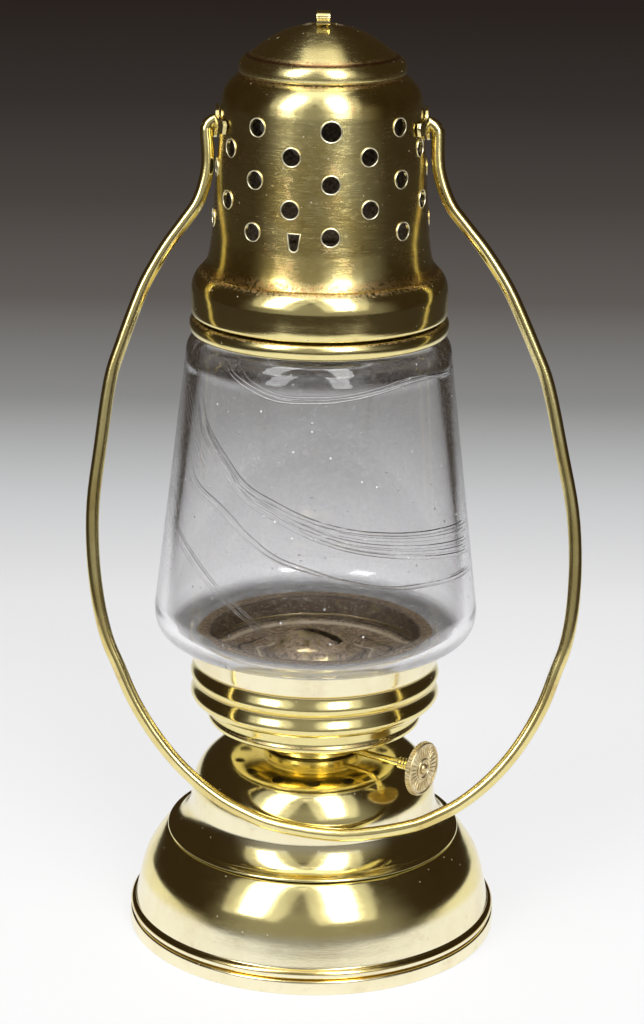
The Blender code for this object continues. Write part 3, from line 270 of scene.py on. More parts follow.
def brassMaterial(name, roughness=0.13, brushing=0.25, anisotropy=0.0, creases=(), tarnish=0.25, specks=0.35,
                  spinSign=-1.0, waviness=1.0, pale=(), shadeAndResidueLines=()):
    # creases are (height, reach) pairs where copper-brown polish residue has gathered,
    # grime (height, reach, tone) for an even line: painted shade in the creases by a bead, and the dome's copper
    # residue line, and pale (height, reach, fall) for bands painted paler: a painted reflection of the pale floor, on
    # the burrs a painted highlight
    material, tree, shader, place = newMaterial(name)
    parts = put(tree, "ShaderNodeSeparateXYZ", {0: place})
    x, y, z = parts.outputs[0], parts.outputs[1], parts.outputs[2]
    radius = calc(tree, "SQRT", calc(tree, "ADD", calc(tree, "MULTIPLY", x, x), calc(tree, "MULTIPLY", y, y)))
    alongProfile = calc(tree, "ADD", z, calc(tree, "MULTIPLY", radius, spinSign))
    spun = put(tree, "ShaderNodeCombineXYZ", {0: calc(tree, "MULTIPLY", x, 0.03), 1: calc(tree, "MULTIPLY", y, 0.03),
                                             2: alongProfile}).outputs[0]
    spinLines = grain(tree, spun, 5200.0, 3.0, 0.6)
    spinBands = grain(tree, spun, 900.0, 2.0)
    swirl = grain(tree, stretched(tree, place, 1.0, 1.0, 5.0), 420.0, 4.0, 0.65, 1.6)
    clouds = grain(tree, place, 70.0, 4.0, 0.6)
    stains = fade(tree, grain(tree, place, 150.0, 5.0, 0.7), 0.52, 0.72)
    residue = 0.0
    ragged = grain(tree, place, 1500.0, 4.0, 0.75)
    for height, reach in creases:
        away = calc(tree, "ABSOLUTE", calc(tree, "SUBTRACT", z, height * mm))
        band = fade(tree, away, 0.0, reach * mm, 1.0, 0.0)
        residue = calc(tree, "MAXIMUM", residue, band)
    if creases:
        residue = calc(tree, "MULTIPLY", residue, fade(tree, ragged, 0.38, 0.62))
    cells = put(tree, "ShaderNodeTexVoronoi", {"Vector": place, "Scale": 620.0})
    chance = put(tree, "ShaderNodeSeparateXYZ", {0: cells.outputs["Color"]}).outputs[0]
    dots = calc(tree, "MULTIPLY", fade(tree, cells.outputs["Distance"], 0.05, 0.12, 1.0, 0.0),
                calc(tree, "GREATER_THAN", chance, 1.0 - specks * 0.3))
    # bands painted paler: a painted reflection of the pale floor, on the burrs a painted highlight
    paintedReflectionMask = 0.0
    for height, reach, fall in pale:
        away = calc(tree, "ABSOLUTE", calc(tree, "SUBTRACT", z, height * mm))
        paintedReflectionMask = calc(tree, "MAXIMUM", paintedReflectionMask, fade(tree, away, reach * mm, (reach + fall) * mm, 1.0, 0.0))
    base = blendColour(tree, paintedReflectionMask, brassTone["bright"], brassTone["pale"])
    colour = blendColour(tree, calc(tree, "MULTIPLY", fade(tree, clouds, 0.35, 0.75), tarnish), base,
                         brassTone["deep"])
    colour = blendColour(tree, calc(tree, "MULTIPLY", stains, tarnish * 0.5), colour, brassTone["copper"])
    colour = blendColour(tree, calc(tree, "MULTIPLY", residue, 0.75), colour, brassTone["copper"])
    # even lines: painted shade in the creases by a bead, and the dome's copper residue line
    for height, reach, tone in shadeAndResidueLines:
        away = calc(tree, "ABSOLUTE", calc(tree, "SUBTRACT", z, height * mm))
        line = fade(tree, away, reach * mm * 0.4, reach * mm, 0.85, 0.0)
        colour = blendColour(tree, line, colour, brassTone[tone])
    colour = blendColour(tree, calc(tree, "MULTIPLY", dots, 0.8), colour, brassTone["dust"])
    rough = calc(tree, "ADD", roughness, calc(tree, "MULTIPLY", spinLines, brushing * 0.25))
    rough = calc(tree, "ADD", rough, calc(tree, "MULTIPLY", fade(tree, swirl, 0.5, 0.62), brushing * 0.12))
    rough = calc(tree, "ADD", rough, calc(tree, "MULTIPLY", stains, tarnish * 0.12))
    rough = calc(tree, "ADD", rough, calc(tree, "MULTIPLY", residue, 0.35), clamp=True)
    tree.links.new(colour, shader.inputs["Base Color"])
    tree.links.new(calc(tree, "SUBTRACT", 1.0, calc(tree, "MULTIPLY", dots, 0.7)), shader.inputs["Metallic"])
    tree.links.new(rough, shader.inputs["Roughness"])
    shader.inputs["Anisotropic"].default_value = anisotropy
    if anisotropy:
        # brushed round the axis, so highlights stretch along the profile
        shader.inputs["Anisotropic Rotation"].default_value = 0.25
        around = put(tree, "ShaderNodeTangent", direction_type="RADIAL", axis="Z").outputs[0]
        tree.links.new(around, shader.inputs["Tangent"])
    waves = put(tree, "ShaderNodeBump", {"Height": grain(tree, place, 55.0, 2.0), "Distance": 0.25 * mm,
                                        "Strength": 0.3 * waviness})
    lines = put(tree, "ShaderNodeBump", {"Height": spinLines, "Distance": 0.0065 * mm, "Strength": brushing,
                                        "Normal": waves.outputs[0]})
    bands = put(tree, "ShaderNodeBump", {"Height": spinBands, "Distance": 0.02 * mm, "Strength": 0.35 * brushing,
                                        "Normal": lines.outputs[0]})
    rubbed = put(tree, "ShaderNodeBump", {"Height": swirl, "Distance": 0.012 * mm,
                                         "Strength": 0.3 + 0.4 * brushing, "Normal": bands.outputs[0]})
    tree.links.new(rubbed.outputs[0], shader.inputs["Normal"])
    return material


# Camera at the photograph's angle, and a plain studio

cameraView = {"place": (1.0 * mm, -523 * mm, 249.4 * mm), "pitchDown": 17.5, "clockwise": 0.8, "focalPixels": 2850,
              "longSide": 1024, "sensor": 36.0}


def makeCamera():
    data = bpy.data.cameras.new("photoCamera")
    data.sensor_width = cameraView["sensor"]
    data.lens = cameraView["focalPixels"] / cameraView["longSide"] * cameraView["sensor"]
    data.clip_start, data.clip_end = 0.01, 50
    camera = bpy.data.objects.new("photoCamera", data)
    bpy.context.scene.collection.objects.link(camera)
    turn = (Matrix.Rotation(radians(90 - cameraView["pitchDown"]), 4, "X")
            @ Matrix.Rotation(radians(cameraView["clockwise"]), 4, "Z"))
    camera.matrix_world = Matrix.Translation(cameraView["place"]) @ turn
    bpy.context.scene.camera = camera


# paper is a painted pool of light falling off behind the lamp, paintedShadeBeyond painted shade past the paper's edges
studio = {"floorSize": 8.0, "world": (0.035, 0.024, 0.013), "frontGlow": (0.30, 0.29, 0.27),
          "glowSide": (0.2, 0.85), "glowHeight": (0.5, 0.85),
          "paintedLightPool": ((0.0, (0.97, 0.97, 0.975)), (0.118, (0.91, 0.91, 0.92)), (0.19, (0.84, 0.84, 0.85)),
                    (0.28, (0.62, 0.625, 0.635)), (0.392, (0.27, 0.27, 0.264)), (0.537, (0.125, 0.112, 0.103)),
                    (0.731, (0.070, 0.061, 0.054)), (1.0, (0.040, 0.033, 0.029)), (1.4, (0.025, 0.018, 0.0155))),
          "paperReach": 1.6, "paperFront": (0.36, 0.46), "paperSide": (0.20, 0.32), "paintedShadeBeyond": (0.05, 0.04, 0.03),
          "shownTone": 0.8,
          "lamps": {"leftCore": (-42, 42, 1.25, 0.34, 1.1, 8.0), "leftGlow": (-42, 40, 1.5, 1.1, 1.5, 2.6),
                    "rightCore": (23, 42, 1.25, 0.34, 1.1, 9.5), "rightGlow": (24, 40, 1.5, 1.1, 1.5, 3.0),
                    "overheadScrim": (0, 84, 1.6, 1.0, 1.0, 4.0)}}


def makeLight(name, azimuth, elevation, distance, width, height, power):
    data = bpy.data.lights.new(name, "AREA")
    data.shape, data.size, data.size_y, data.energy = "RECTANGLE", width, height, power
    lamp = bpy.data.objects.new(name, data)
    bpy.context.scene.collection.objects.link(lamp)
    a, e = radians(azimuth), radians(elevation)
    outward = Vector((sin(a) * cos(e), -cos(a) * cos(e), sin(e)))
    lamp.location = Vector((0, 0, 0.09)) + outward * distance
    lamp.rotation_euler = outward.to_track_quat("Z", "Y").to_euler()


def makeStudio():
    scene = bpy.context.scene
    scene.view_settings.view_transform = "Standard"
    half = studio["floorSize"] / 2
    mesh = bpy.data.meshes.new("paperFloor")
    mesh.from_pydata([(-half, -half, 0), (half, -half, 0), (half, half, 0), (-half, half, 0)], [], [(0, 1, 2, 3)])
    floor = newPiece("paperFloor", mesh)
    material, tree, shader, place = newMaterial("palePaper")
    parts = put(tree, "ShaderNodeSeparateXYZ", {0: place})
    x, y = parts.outputs[0], parts.outputs[1]
    # painted pool of light: the paper's colour is painted darker behind the lamp, with painted shade past its sides and
    # at its front edge
    aside = fade(tree, calc(tree, "ABSOLUTE", x), *studio["paperSide"])
    forward = fade(tree, calc(tree, "MULTIPLY", y, -1.0), *studio["paperFront"])
    past = calc(tree, "MAXIMUM", aside, forward)
    away = calc(tree, "DIVIDE", y, studio["paperReach"], clamp=True)
    grainy = calc(tree, "MULTIPLY", calc(tree, "SUBTRACT", grain(tree, place, 9.0, 3.0), 0.5), 0.004)
    ramp = put(tree, "ShaderNodeValToRGB", {0: calc(tree, "ADD", away, grainy)})
    stops = ramp.color_ramp.elements
    stops.remove(stops[0])
    for index, (distance, tone) in enumerate(studio["paintedLightPool"]):
        stop = stops[0] if index == 0 else stops.new(distance / studio["paperReach"])
        stop.position = distance / studio["paperReach"]
        stop.color = (*tone, 1.0)
    paintedLightPool = blendColour(tree, past, ramp.outputs[0], studio["paintedShadeBeyond"])
    tree.links.new(paintedLightPool, shader.inputs["Base Color"])
    shader.inputs["Roughness"].default_value = 0.9
    shader.inputs["Specular IOR Level"].default_value = 0.1
    # the picture, the metal and the glass see mostly that painted tone, with a faint shadow left on it
    rays = put(tree, "ShaderNodeLightPath").outputs
    seen = calc(tree, "MAXIMUM", calc(tree, "MAXIMUM", rays["Is Camera Ray"], rays["Is Glossy Ray"]),
                rays["Is Transmission Ray"])
    tone = put(tree, "ShaderNodeEmission", {"Color": paintedLightPool})
    shown = put(tree, "ShaderNodeMixShader", {0: calc(tree, "MULTIPLY", seen, studio["shownTone"]),
                                              1: shader.outputs[0], 2: tone.outputs[0]})
    tree.links.new(shown.outputs[0], tree.nodes["Material Output"].inputs["Surface"])
    floor.data.materials.append(material)
    world = bpy.data.worlds.new("dimRoom")
    scene.world = world
    world.use_nodes = True
    tree = world.node_tree
    # a dim room, paler on the side that the camera and the lamps stand on
    parts = put(tree, "ShaderNodeSeparateXYZ", {0: put(tree, "ShaderNodeTexCoord").outputs["Generated"]})
    front = fade(tree, calc(tree, "MULTIPLY", parts.outputs[1], -1.0), *studio["glowSide"])
    low = fade(tree, parts.outputs[2], *studio["glowHeight"], 1.0, 0.0)
    room = blendColour(tree, calc(tree, "MULTIPLY", front, low), studio["world"], studio["frontGlow"])
    tree.links.new(room, tree.nodes["Background"].inputs[0])
    for name, lamp in studio["lamps"].items():
        makeLight(name, *lamp)


makeCamera()
makeStudio()
print("camera and studio ready")


# Foot: spun bell with a rolled bead over an upright rim

footShape = {"ledge": [(26.1, 19.5), (28.3, 19.5)],
             "bell": [(28.35, 19.5), (28.9, 19.25), (29.96, 18.1), (31.5, 16), (32.9, 13.6), (33.87, 10.6),
                      (34.6, 7.5), (35.15, 4.95)],
             "bead": (35.25, 4.8, 2.9, 0.92), "rim": [(36.15, 2.75), (36.3, 2.3), (36.3, 0.15), (36.2, 0)],
             "sheet": 0.6}


def makeFoot():
    bell = splineLine(footShape["bell"])
    line = footShape["ledge"] + bell[1:] + halfBead(*footShape["bead"]) + footShape["rim"]
    loop = sheetLoop(dense(soften(inMetres(line), 0.25 * mm)), footShape["sheet"] * mm)
    # pale band: painted reflection of the floor on the bell's foot; even lines: painted shade on and under the bead
    material = brassMaterial("footBrass", roughness=0.09, brushing=0.3, specks=0.8, pale=((5.0, 4.5, 2.0),),
                             shadeAndResidueLines=((4.5, 0.6, "deep"), (2.85, 0.3, "deep")))
    settle(newPiece("footBell", latheMesh("footBell", loop)), "base", "polished_brass", material, "foot_shell")


# Font: flared skirt, upright wall and low dome

fontShape = {"dome": [(9.7, 36.9), (13.5, 36.8), (16.6, 36.4), (18.6, 35.7), (20.3, 34.66), (21.7, 33.3),
                      (22.9, 31.4), (23.65, 29.4), (24.0, 27.4)],
             "flare": [(24.1, 26.6), (24.25, 25.15), (24.9, 23.37), (25.9, 21.8), (27.1, 20.75), (28.1, 20.42),
                       (28.62, 20.2), (28.78, 19.9)],
             "sheet": 0.6}


def makeFont():
    line = splineLine(fontShape["dome"] + fontShape["flare"])
    loop = sheetLoop(dense(soften(inMetres(line), 0.2 * mm)), fontShape["sheet"] * mm)
    # pale band: a painted reflection of the floor on the font's upright wall
    material = brassMaterial("fontBrass", roughness=0.08, brushing=0.3, specks=0.8, pale=((26.5, 1.5, 2.0),))
    settle(newPiece("fontDome", latheMesh("fontDome", loop)), "base", "polished_brass", material, "font_dome")


makeFoot()
makeFont()
print("foot and font made")


# Burner head under the gallery, with a turned groove

burnerShape = {"outer": [(6.6, 41.8), (9.8, 41.8), (9.8, 40.2), (9.35, 39.9), (9.35, 39.3), (9.8, 39.0), (9.8, 37.2),
                         (7.7, 37.2), (7.7, 33.2), (6.0, 33.2), (6.0, 34.2), (6.6, 34.2)]}

galleryShape = {"outer": [(22.3, 55.3), (22.3, 48.7), (20.5, 47.5), (20.5, 44.3), (20.85, 43.6), (20.85, 43.1),
                          (20.5, 42.65), (19.5, 42.1), (6.9, 42.1)],
                "sheet": 0.6, "holes": 12, "holeRadius": 1.7, "holeInset": 3.9, "outerRadius": 20.5, "floor": 42.1}

deckShape = {"outer": [(7.4, 54.6), (9.9, 54.6), (11.9, 54.82), (12.7, 55.5), (14.1, 55.5), (15.0, 54.9),
                       (17.6, 55.1), (20.0, 56.1), (22.0, 56.1)],
             "sheet": 0.5}

coneShape = {"outer": [(0, 60.8), (2.4, 60.72), (4.6, 60.3), (6.4, 59.3), (7.7, 57.8), (8.45, 55.7), (9.5, 55.4)],
             "sheet": 0.5, "slot": (12.4, 3.0, 5.4), "turn": -34, "top": 60.8}


def sootMaterial(name, brassShow, level=1.0, rings=False):
    # brass under a dull brown film of soot, with pale ash specks, in faint rings where it lies on a round ledge
    material, tree, shader, place = newMaterial(name)
    clouds = grain(tree, place, 260.0, 5.0, 0.7)
    fine = grain(tree, place, 1500.0, 3.0, 0.7)
    bare = calc(tree, "MULTIPLY", fade(tree, clouds, 0.5, 0.72), brassShow, clamp=True)
    colour = blendColour(tree, fade(tree, fine, 0.3, 0.7), (0.20, 0.14, 0.09), (0.78, 0.60, 0.40))
    if rings:
        across = put(tree, "ShaderNodeVectorMath", {0: stretched(tree, place, 1.0, 1.0, 0.0)}, operation="LENGTH")
        around = grain(tree, put(tree, "ShaderNodeCombineXYZ", {0: across.outputs["Value"]}).outputs[0], 560.0, 1.0)
        colour = blendColour(tree, fade(tree, around, 0.5, 0.7), colour, (0.07, 0.045, 0.03))
        colour = blendColour(tree, fade(tree, around, 0.42, 0.32), colour, (0.98, 0.88, 0.68))
    colour = blendColour(tree, bare, colour, (0.80, 0.66, 0.34))
    ash = fade(tree, grain(tree, place, 2400.0, 2.0, 0.6), 0.62, 0.70)
    colour = blendColour(tree, calc(tree, "MULTIPLY", ash, 0.8), colour, (0.85, 0.78, 0.64))
    colour = blendColour(tree, level, (0.02, 0.014, 0.009), colour)
    tree.links.new(colour, shader.inputs["Base Color"])
    tree.links.new(calc(tree, "ADD", calc(tree, "MULTIPLY", bare, 0.6), 0.35), shader.inputs["Metallic"])
    tree.links.new(calc(tree, "SUBTRACT", 0.62, calc(tree, "MULTIPLY", bare, 0.3)), shader.inputs["Roughness"])
    bumps = put(tree, "ShaderNodeBump", {"Height": fine, "Distance": 0.08 * mm, "Strength": 0.5})
    tree.links.new(bumps.outputs[0], shader.inputs["Normal"])
    return material


def cylinderTool(name, radius, depth, matrix, sides=32):
    shape = bmesh.new()
    bmesh.ops.create_cone(shape, cap_ends=True, segments=sides, radius1=radius, radius2=radius, depth=depth,
                          matrix=matrix)
    mesh = bpy.data.meshes.new(name)
    shape.to_mesh(mesh)
    shape.free()
    return newPiece(name, mesh)


def boxTool(name, size, matrix):
    shape = bmesh.new()
    bmesh.ops.create_cube(shape, size=1.0, matrix=matrix @ Matrix.Diagonal((*size, 1.0)))
    mesh = bpy.data.meshes.new(name)
    shape.to_mesh(mesh)
    shape.free()
    return newPiece(name, mesh)


# Geometry node trees

def startTree(name, inputs):
    tree = bpy.data.node_groups.new(name, "GeometryNodeTree")
    tree.interface.new_socket("Geometry", in_out="INPUT", socket_type="NodeSocketGeometry")
    for label, kind, value in inputs:
        made = tree.interface.new_socket(label, in_out="INPUT", socket_type=kind)
        made.default_value = value
    tree.interface.new_socket("Geometry", in_out="OUTPUT", socket_type="NodeSocketGeometry")
    return tree, put(tree, "NodeGroupInput"), put(tree, "NodeGroupOutput")


def ringPattern(tree, given):
    # staggered rows of places round the wall, each facing outwards
    total = calc(tree, "MULTIPLY", given.outputs["Rows"], given.outputs["Holes a row"])
    points = put(tree, "GeometryNodePoints", {"Count": total})
    index = put(tree, "GeometryNodeInputIndex").outputs[0]
    row = calc(tree, "FLOOR", calc(tree, "DIVIDE", index, given.outputs["Holes a row"]))
    column = calc(tree, "SUBTRACT", index, calc(tree, "MULTIPLY", row, given.outputs["Holes a row"]))
    fromMiddle = calc(tree, "SUBTRACT", column, calc(tree, "MULTIPLY", given.outputs["Holes a row"], 0.5))
    stagger = calc(tree, "MULTIPLY", calc(tree, "MODULO", row, 2.0), 0.5)
    turn = calc(tree, "MULTIPLY", calc(tree, "ADD", fromMiddle, stagger), given.outputs["Pitch"])
    turn = calc(tree, "ADD", turn, given.outputs["First turn"])
    height = calc(tree, "SUBTRACT", given.outputs["Top row"],
                  calc(tree, "MULTIPLY", row, given.outputs["Row spacing"]))
    radius = calc(tree, "ADD", given.outputs["Radius at zero"],
                  calc(tree, "MULTIPLY", height, given.outputs["Taper"]))
    outX, outY = calc(tree, "SINE", turn), calc(tree, "MULTIPLY", calc(tree, "COSINE", turn), -1.0)
    place = put(tree, "ShaderNodeCombineXYZ", {0: calc(tree, "MULTIPLY", outX, radius),
                                              1: calc(tree, "MULTIPLY", outY, radius), 2: height}).outputs[0]
    outward = put(tree, "ShaderNodeCombineXYZ", {0: outX, 1: outY, 2: 0.0}).outputs[0]
    moved = put(tree, "GeometryNodeSetPosition", {"Geometry": points.outputs[0], "Position": place})
    besideEar = calc(tree, "LESS_THAN", calc(tree, "ABSOLUTE", outY), given.outputs["Ear clearance"])
    levelWithEar = calc(tree, "LESS_THAN", row, 0.5)
    kept = calc(tree, "SUBTRACT", 1.0, calc(tree, "MULTIPLY", besideEar, levelWithEar))
    big = calc(tree, "MULTIPLY", levelWithEar, calc(tree, "COMPARE", fromMiddle, 0.0, 0.1))
    size = calc(tree, "ADD", 1.0, calc(tree, "MULTIPLY", big, given.outputs["Wider front hole"]))
    facing = put(tree, "FunctionNodeAlignRotationToVector", {"Vector": outward}, axis="Z")
    return {"Points": moved.outputs[0], "Selection": kept, "Rotation": facing.outputs[0], "Scale": size}


perforation = {"Rows": 5, "Holes a row": 8, "Pitch": radians(43.2), "First turn": radians(5.3),
               "Top row": 161.3 * mm, "Row spacing": 4.72 * mm, "Radius at zero": 29.66 * mm, "Taper": -0.0671,
               "Ear clearance": 0.40, "Wider front hole": 0.13, "Hole radius": 1.7 * mm, "Burr": 0.13 * mm}


def patternInputs():
    whole = ("Rows", "Holes a row")
    return [(label, "NodeSocketInt" if label in whole else "NodeSocketFloat", value)
            for label, value in perforation.items()]


def perforationTree():
    tree, given, result = startTree("perforatedWall", patternInputs())
    pattern = ringPattern(tree, given)
    punch = put(tree, "GeometryNodeMeshCylinder", {"Vertices": 40, "Radius": given.outputs["Hole radius"],
                                                  "Depth": 5 * mm})
    punches = put(tree, "GeometryNodeInstanceOnPoints", {"Instance": punch.outputs["Mesh"], **pattern})
    real = put(tree, "GeometryNodeRealizeInstances", {0: punches.outputs[0]})
    cut = put(tree, "GeometryNodeMeshBoolean", operation="DIFFERENCE", solver="EXACT")
    tree.links.new(given.outputs["Geometry"], cut.inputs["Mesh 1"])
    tree.links.new(real.outputs[0], cut.inputs["Mesh 2"])
    tree.links.new(cut.outputs[0], result.inputs[0])
    return tree


def burrTree(material):
    tree, given, result = startTree("punchedBurrs", patternInputs())
    pattern = ringPattern(tree, given)
    circle =put(tree, "GeometryNodeCurvePrimitiveCircle", {"Resolution": 40, "Radius": given.outputs["Hole radius"]})
    section = put(tree, "GeometryNodeCurvePrimitiveCircle", {"Resolution": 8, "Radius": given.outputs["Burr"]})
    ring = put(tree, "GeometryNodeCurveToMesh", {"Curve": circle.outputs["Curve"],
                                                "Profile Curve": section.outputs["Curve"]})
    rings = put(tree, "GeometryNodeInstanceOnPoints", {"Instance": ring.outputs[0], **pattern})
    real = put(tree, "GeometryNodeRealizeInstances", {0: rings.outputs[0]})
    painted = put(tree, "GeometryNodeSetMaterial", {"Geometry": real.outputs[0], "Material": material})
    tree.links.new(painted.outputs[0], result.inputs[0])
    return tree


def applyTree(piece, tree, values=None):
    modifier = piece.modifiers.new(tree.name, "NODES")
    modifier.node_group = tree
    for item in tree.interface.items_tree:
        if item.in_out == "INPUT" and values and item.name in values:
            modifier[item.identifier] = values[item.name]
    return evaluatedMesh(piece)


def makeBurner():
    bright = brassMaterial("burnerBrass", roughness=0.14, brushing=0.4, tarnish=0.5, specks=0.1)
    soot = sootMaterial("deckSoot", 0.6, rings=True)
    loop = dense(soften(inMetres(burnerShape["outer"]), 0.15 * mm, True), True)
    settle(newPiece("burnerHead", latheMesh("burnerHead", loop, 96)), "burner", "polished_brass", bright,
           "burner_body")
    line = dense(soften(inMetres(galleryShape["outer"]), 0.5 * mm))
    cup = newPiece("galleryCup", latheMesh("galleryCup", sheetLoop(line, galleryShape["sheet"] * mm)))
    tools = []
    for k in range(galleryShape["holes"]):
        turn = 2 * pi * k / galleryShape["holes"]
        reach = (galleryShape["outerRadius"] - galleryShape["holeInset"]) * mm
        place = Matrix.Translation((reach * cos(turn), reach * sin(turn), galleryShape["floor"] * mm))
        tools.append(cylinderTool("airHole" + str(k), galleryShape["holeRadius"] * mm, 4 * mm, place))
        cutAway(cup, tools[-1])
    evaluatedMesh(cup)
    discard(*tools)
    settle(cup, "burner", "polished_brass", brassMaterial("galleryBrass", roughness=0.13, brushing=0.3, spinSign=1.0,
                                                         creases=((43.9, 0.25),)), "gallery_cup")
    line = dense(soften(inMetres(deckShape["outer"][::-1]), 0.4 * mm))[::-1]
    deckLoop = sheetLoop(line, deckShape["sheet"] * mm)
    lowered = [(r, z) for r, z in deckLoop]
    settle(newPiece("burnerDeck", latheMesh("burnerDeck", lowered)), "burner", "sooty_brass", soot, "burner_deck")
    line = dense(soften(inMetres(coneShape["outer"]), 0.3 * mm))
    cone = newPiece("burnerCone", latheMesh("burnerCone", sheetLoop(line, coneShape["sheet"] * mm), 96))
    size = [side * mm for side in coneShape["slot"]]
    slotTool = boxTool("slotTool", size, Matrix.Translation((0, 0, coneShape["top"] * mm))
                       @ Matrix.Rotation(radians(coneShape["turn"]), 4, "Z"))
    cutAway(cone, slotTool)
    evaluatedMesh(cone)
    discard(slotTool)
    settle(cone, "burner", "sooty_brass", sootMaterial("coneSoot", 4.0), "burner_cone")


makeBurner()
print("burner made")


# Winder: a thin shaft with a ribbed boss, and a knurled thumbwheel with a plain sunburst on its face

winderShape = {"start": (-1.6776, -2.4871, 38.9), "along": (0.8290376, -0.5591929, 0.0), "reach": 27.0,
               "shaft": 0.7, "inner": -8.7, "boss": 1.12, "bossLength": 4.5, "bossRibs": 7}

wheelFace = {"Wheel radius": 5.12 * mm, "Wheel thickness": 0.95 * mm, "Knurl count": 48, "Knurl radius": 0.17 * mm,
             "Ray count": 28, "Ray inner": 2.3 * mm, "Ray outer": 4.55 * mm, "Ray width": 0.26 * mm,
             "Ray height": 0.16 * mm, "Ring radius": 1.85 * mm, "Rivet radius": 1.05 * mm}


def roundPlaces(tree, count, radius):
    # points round a circle, and the turn at each
    points = put(tree, "GeometryNodePoints", {"Count": count})
    turn = calc(tree, "DIVIDE", calc(tree, "MULTIPLY", put(tree, "GeometryNodeInputIndex").outputs[0], 2 * pi), count)
    place = put(tree, "ShaderNodeCombineXYZ", {0: calc(tree, "MULTIPLY", calc(tree, "COSINE", turn), radius),
                                              1: calc(tree, "MULTIPLY", calc(tree, "SINE", turn), radius), 2: 0.0})
    moved = put(tree, "GeometryNodeSetPosition", {"Geometry": points.outputs[0], "Position": place.outputs[0]})
    return moved.outputs[0], put(tree, "ShaderNodeCombineXYZ", {0: 0.0, 1: 0.0, 2: turn}).outputs[0]


def torusNode(tree, radius, section, height):
    circle = put(tree, "GeometryNodeCurvePrimitiveCircle", {"Resolution": 64, "Radius": radius})
    profile = put(tree, "GeometryNodeCurvePrimitiveCircle", {"Resolution": 10, "Radius": section})
    ring = put(tree, "GeometryNodeCurveToMesh", {"Curve": circle.outputs["Curve"],
                                                "Profile Curve": profile.outputs["Curve"]})
    lift = put(tree, "ShaderNodeCombineXYZ", {0: 0.0, 1: 0.0, 2: height}).outputs[0]
    return put(tree, "GeometryNodeTransform", {"Geometry": ring.outputs[0], "Translation": lift}).outputs[0]


def thumbwheelTree(material):
    whole = ("Knurl count", "Ray count")
    tree, given, result = startTree("thumbwheelFace", [(label, "NodeSocketInt" if label in whole else "NodeSocketFloat",
                                                        value) for label, value in wheelFace.items()])
    size = given.outputs
    half = calc(tree, "MULTIPLY", size["Wheel thickness"], 0.5)
    disc = put(tree, "GeometryNodeMeshCylinder", {"Vertices": 96, "Radius": size["Wheel radius"],
                                                 "Depth": size["Wheel thickness"]})
    places, turns = roundPlaces(tree, size["Knurl count"], size["Wheel radius"])
    rib = put(tree, "GeometryNodeMeshCylinder", {"Vertices": 8, "Radius": size["Knurl radius"],
                                                "Depth": calc(tree, "MULTIPLY", size["Wheel thickness"], 0.86)})
    knurls = put(tree, "GeometryNodeInstanceOnPoints", {"Points": places, "Instance": rib.outputs["Mesh"],
                                                       "Rotation": turns})
    middle = calc(tree, "MULTIPLY", calc(tree, "ADD", size["Ray inner"], size["Ray outer"]), 0.5)
    length = calc(tree, "SUBTRACT", size["Ray outer"], size["Ray inner"])
    places, turns = roundPlaces(tree, size["Ray count"], middle)
    ray = put(tree, "GeometryNodeMeshUVSphere", {"Segments": 12, "Rings": 6, "Radius": 0.5})
    stretch = put(tree, "ShaderNodeCombineXYZ", {0: length, 1: size["Ray width"],
                                                2: calc(tree, "MULTIPLY", size["Ray height"], 2.0)}).outputs[0]
    rays = put(tree, "GeometryNodeInstanceOnPoints", {"Points": places, "Instance": ray.outputs["Mesh"],
                                                     "Rotation": turns, "Scale": stretch})
    lift = put(tree, "ShaderNodeCombineXYZ", {0: 0.0, 1: 0.0, 2: half}).outputs[0]
    raised = put(tree, "GeometryNodeTransform", {"Geometry": rays.outputs[0], "Translation": lift})
    rimRing = torusNode(tree, calc(tree, "SUBTRACT", size["Wheel radius"], 0.22 * mm), 0.2 * mm, half)
    hubRing = torusNode(tree, size["Ring radius"], 0.28 * mm, half)
    dome = put(tree, "GeometryNodeMeshUVSphere", {"Segments": 32, "Rings": 16, "Radius": size["Rivet radius"]})
    squash = put(tree, "GeometryNodeTransform", {"Geometry": dome.outputs["Mesh"], "Translation": lift,
                                                "Scale": (1.0, 1.0, 0.75)})
    joined = put(tree, "GeometryNodeJoinGeometry")
    for part in (disc.outputs["Mesh"], knurls.outputs[0], raised.outputs[0], rimRing, hubRing, squash.outputs[0]):
        tree.links.new(part, joined.inputs[0])
    real = put(tree, "GeometryNodeRealizeInstances", {0: joined.outputs[0]})
    painted = put(tree, "GeometryNodeSetMaterial", {"Geometry": real.outputs[0], "Material": material})
    tree.links.new(painted.outputs[0], result.inputs[0])
    return tree


def wheelMaterial():
    # worn high spots over a darker pressed pattern: painted shade in its recesses from ambient occlusion, and the dirt
    # there
    material, tree, shader, place = newMaterial("thumbwheelBrass")
    near = put(tree, "ShaderNodeAmbientOcclusion", {"Distance": 0.5 * mm}, samples=8, only_local=True)
    recessShadeAndDirt = fade(tree, near.outputs["AO"], 0.45, 0.85, 1.0, 0.0)
    patchy = fade(tree, grain(tree, place, 700.0, 4.0, 0.6), 0.35, 0.65)
    colour = blendColour(tree, patchy, (0.86, 0.74, 0.46), (0.66, 0.52, 0.27))
    colour = blendColour(tree, calc(tree, "MULTIPLY", recessShadeAndDirt, 0.85), colour, (0.09, 0.055, 0.03))
    tree.links.new(colour, shader.inputs["Base Color"])
    tree.links.new(calc(tree, "SUBTRACT", 1.0, calc(tree, "MULTIPLY", recessShadeAndDirt, 0.5)), shader.inputs["Metallic"])
    tree.links.new(calc(tree, "ADD", 0.3, calc(tree, "MULTIPLY", patchy, 0.12)), shader.inputs["Roughness"])
    bumps = put(tree, "ShaderNodeBump", {"Height": grain(tree, place, 2600.0, 3.0, 0.6), "Distance": 0.03 * mm,
                                        "Strength": 0.5})
    tree.links.new(bumps.outputs[0], shader.inputs["Normal"])
    return material


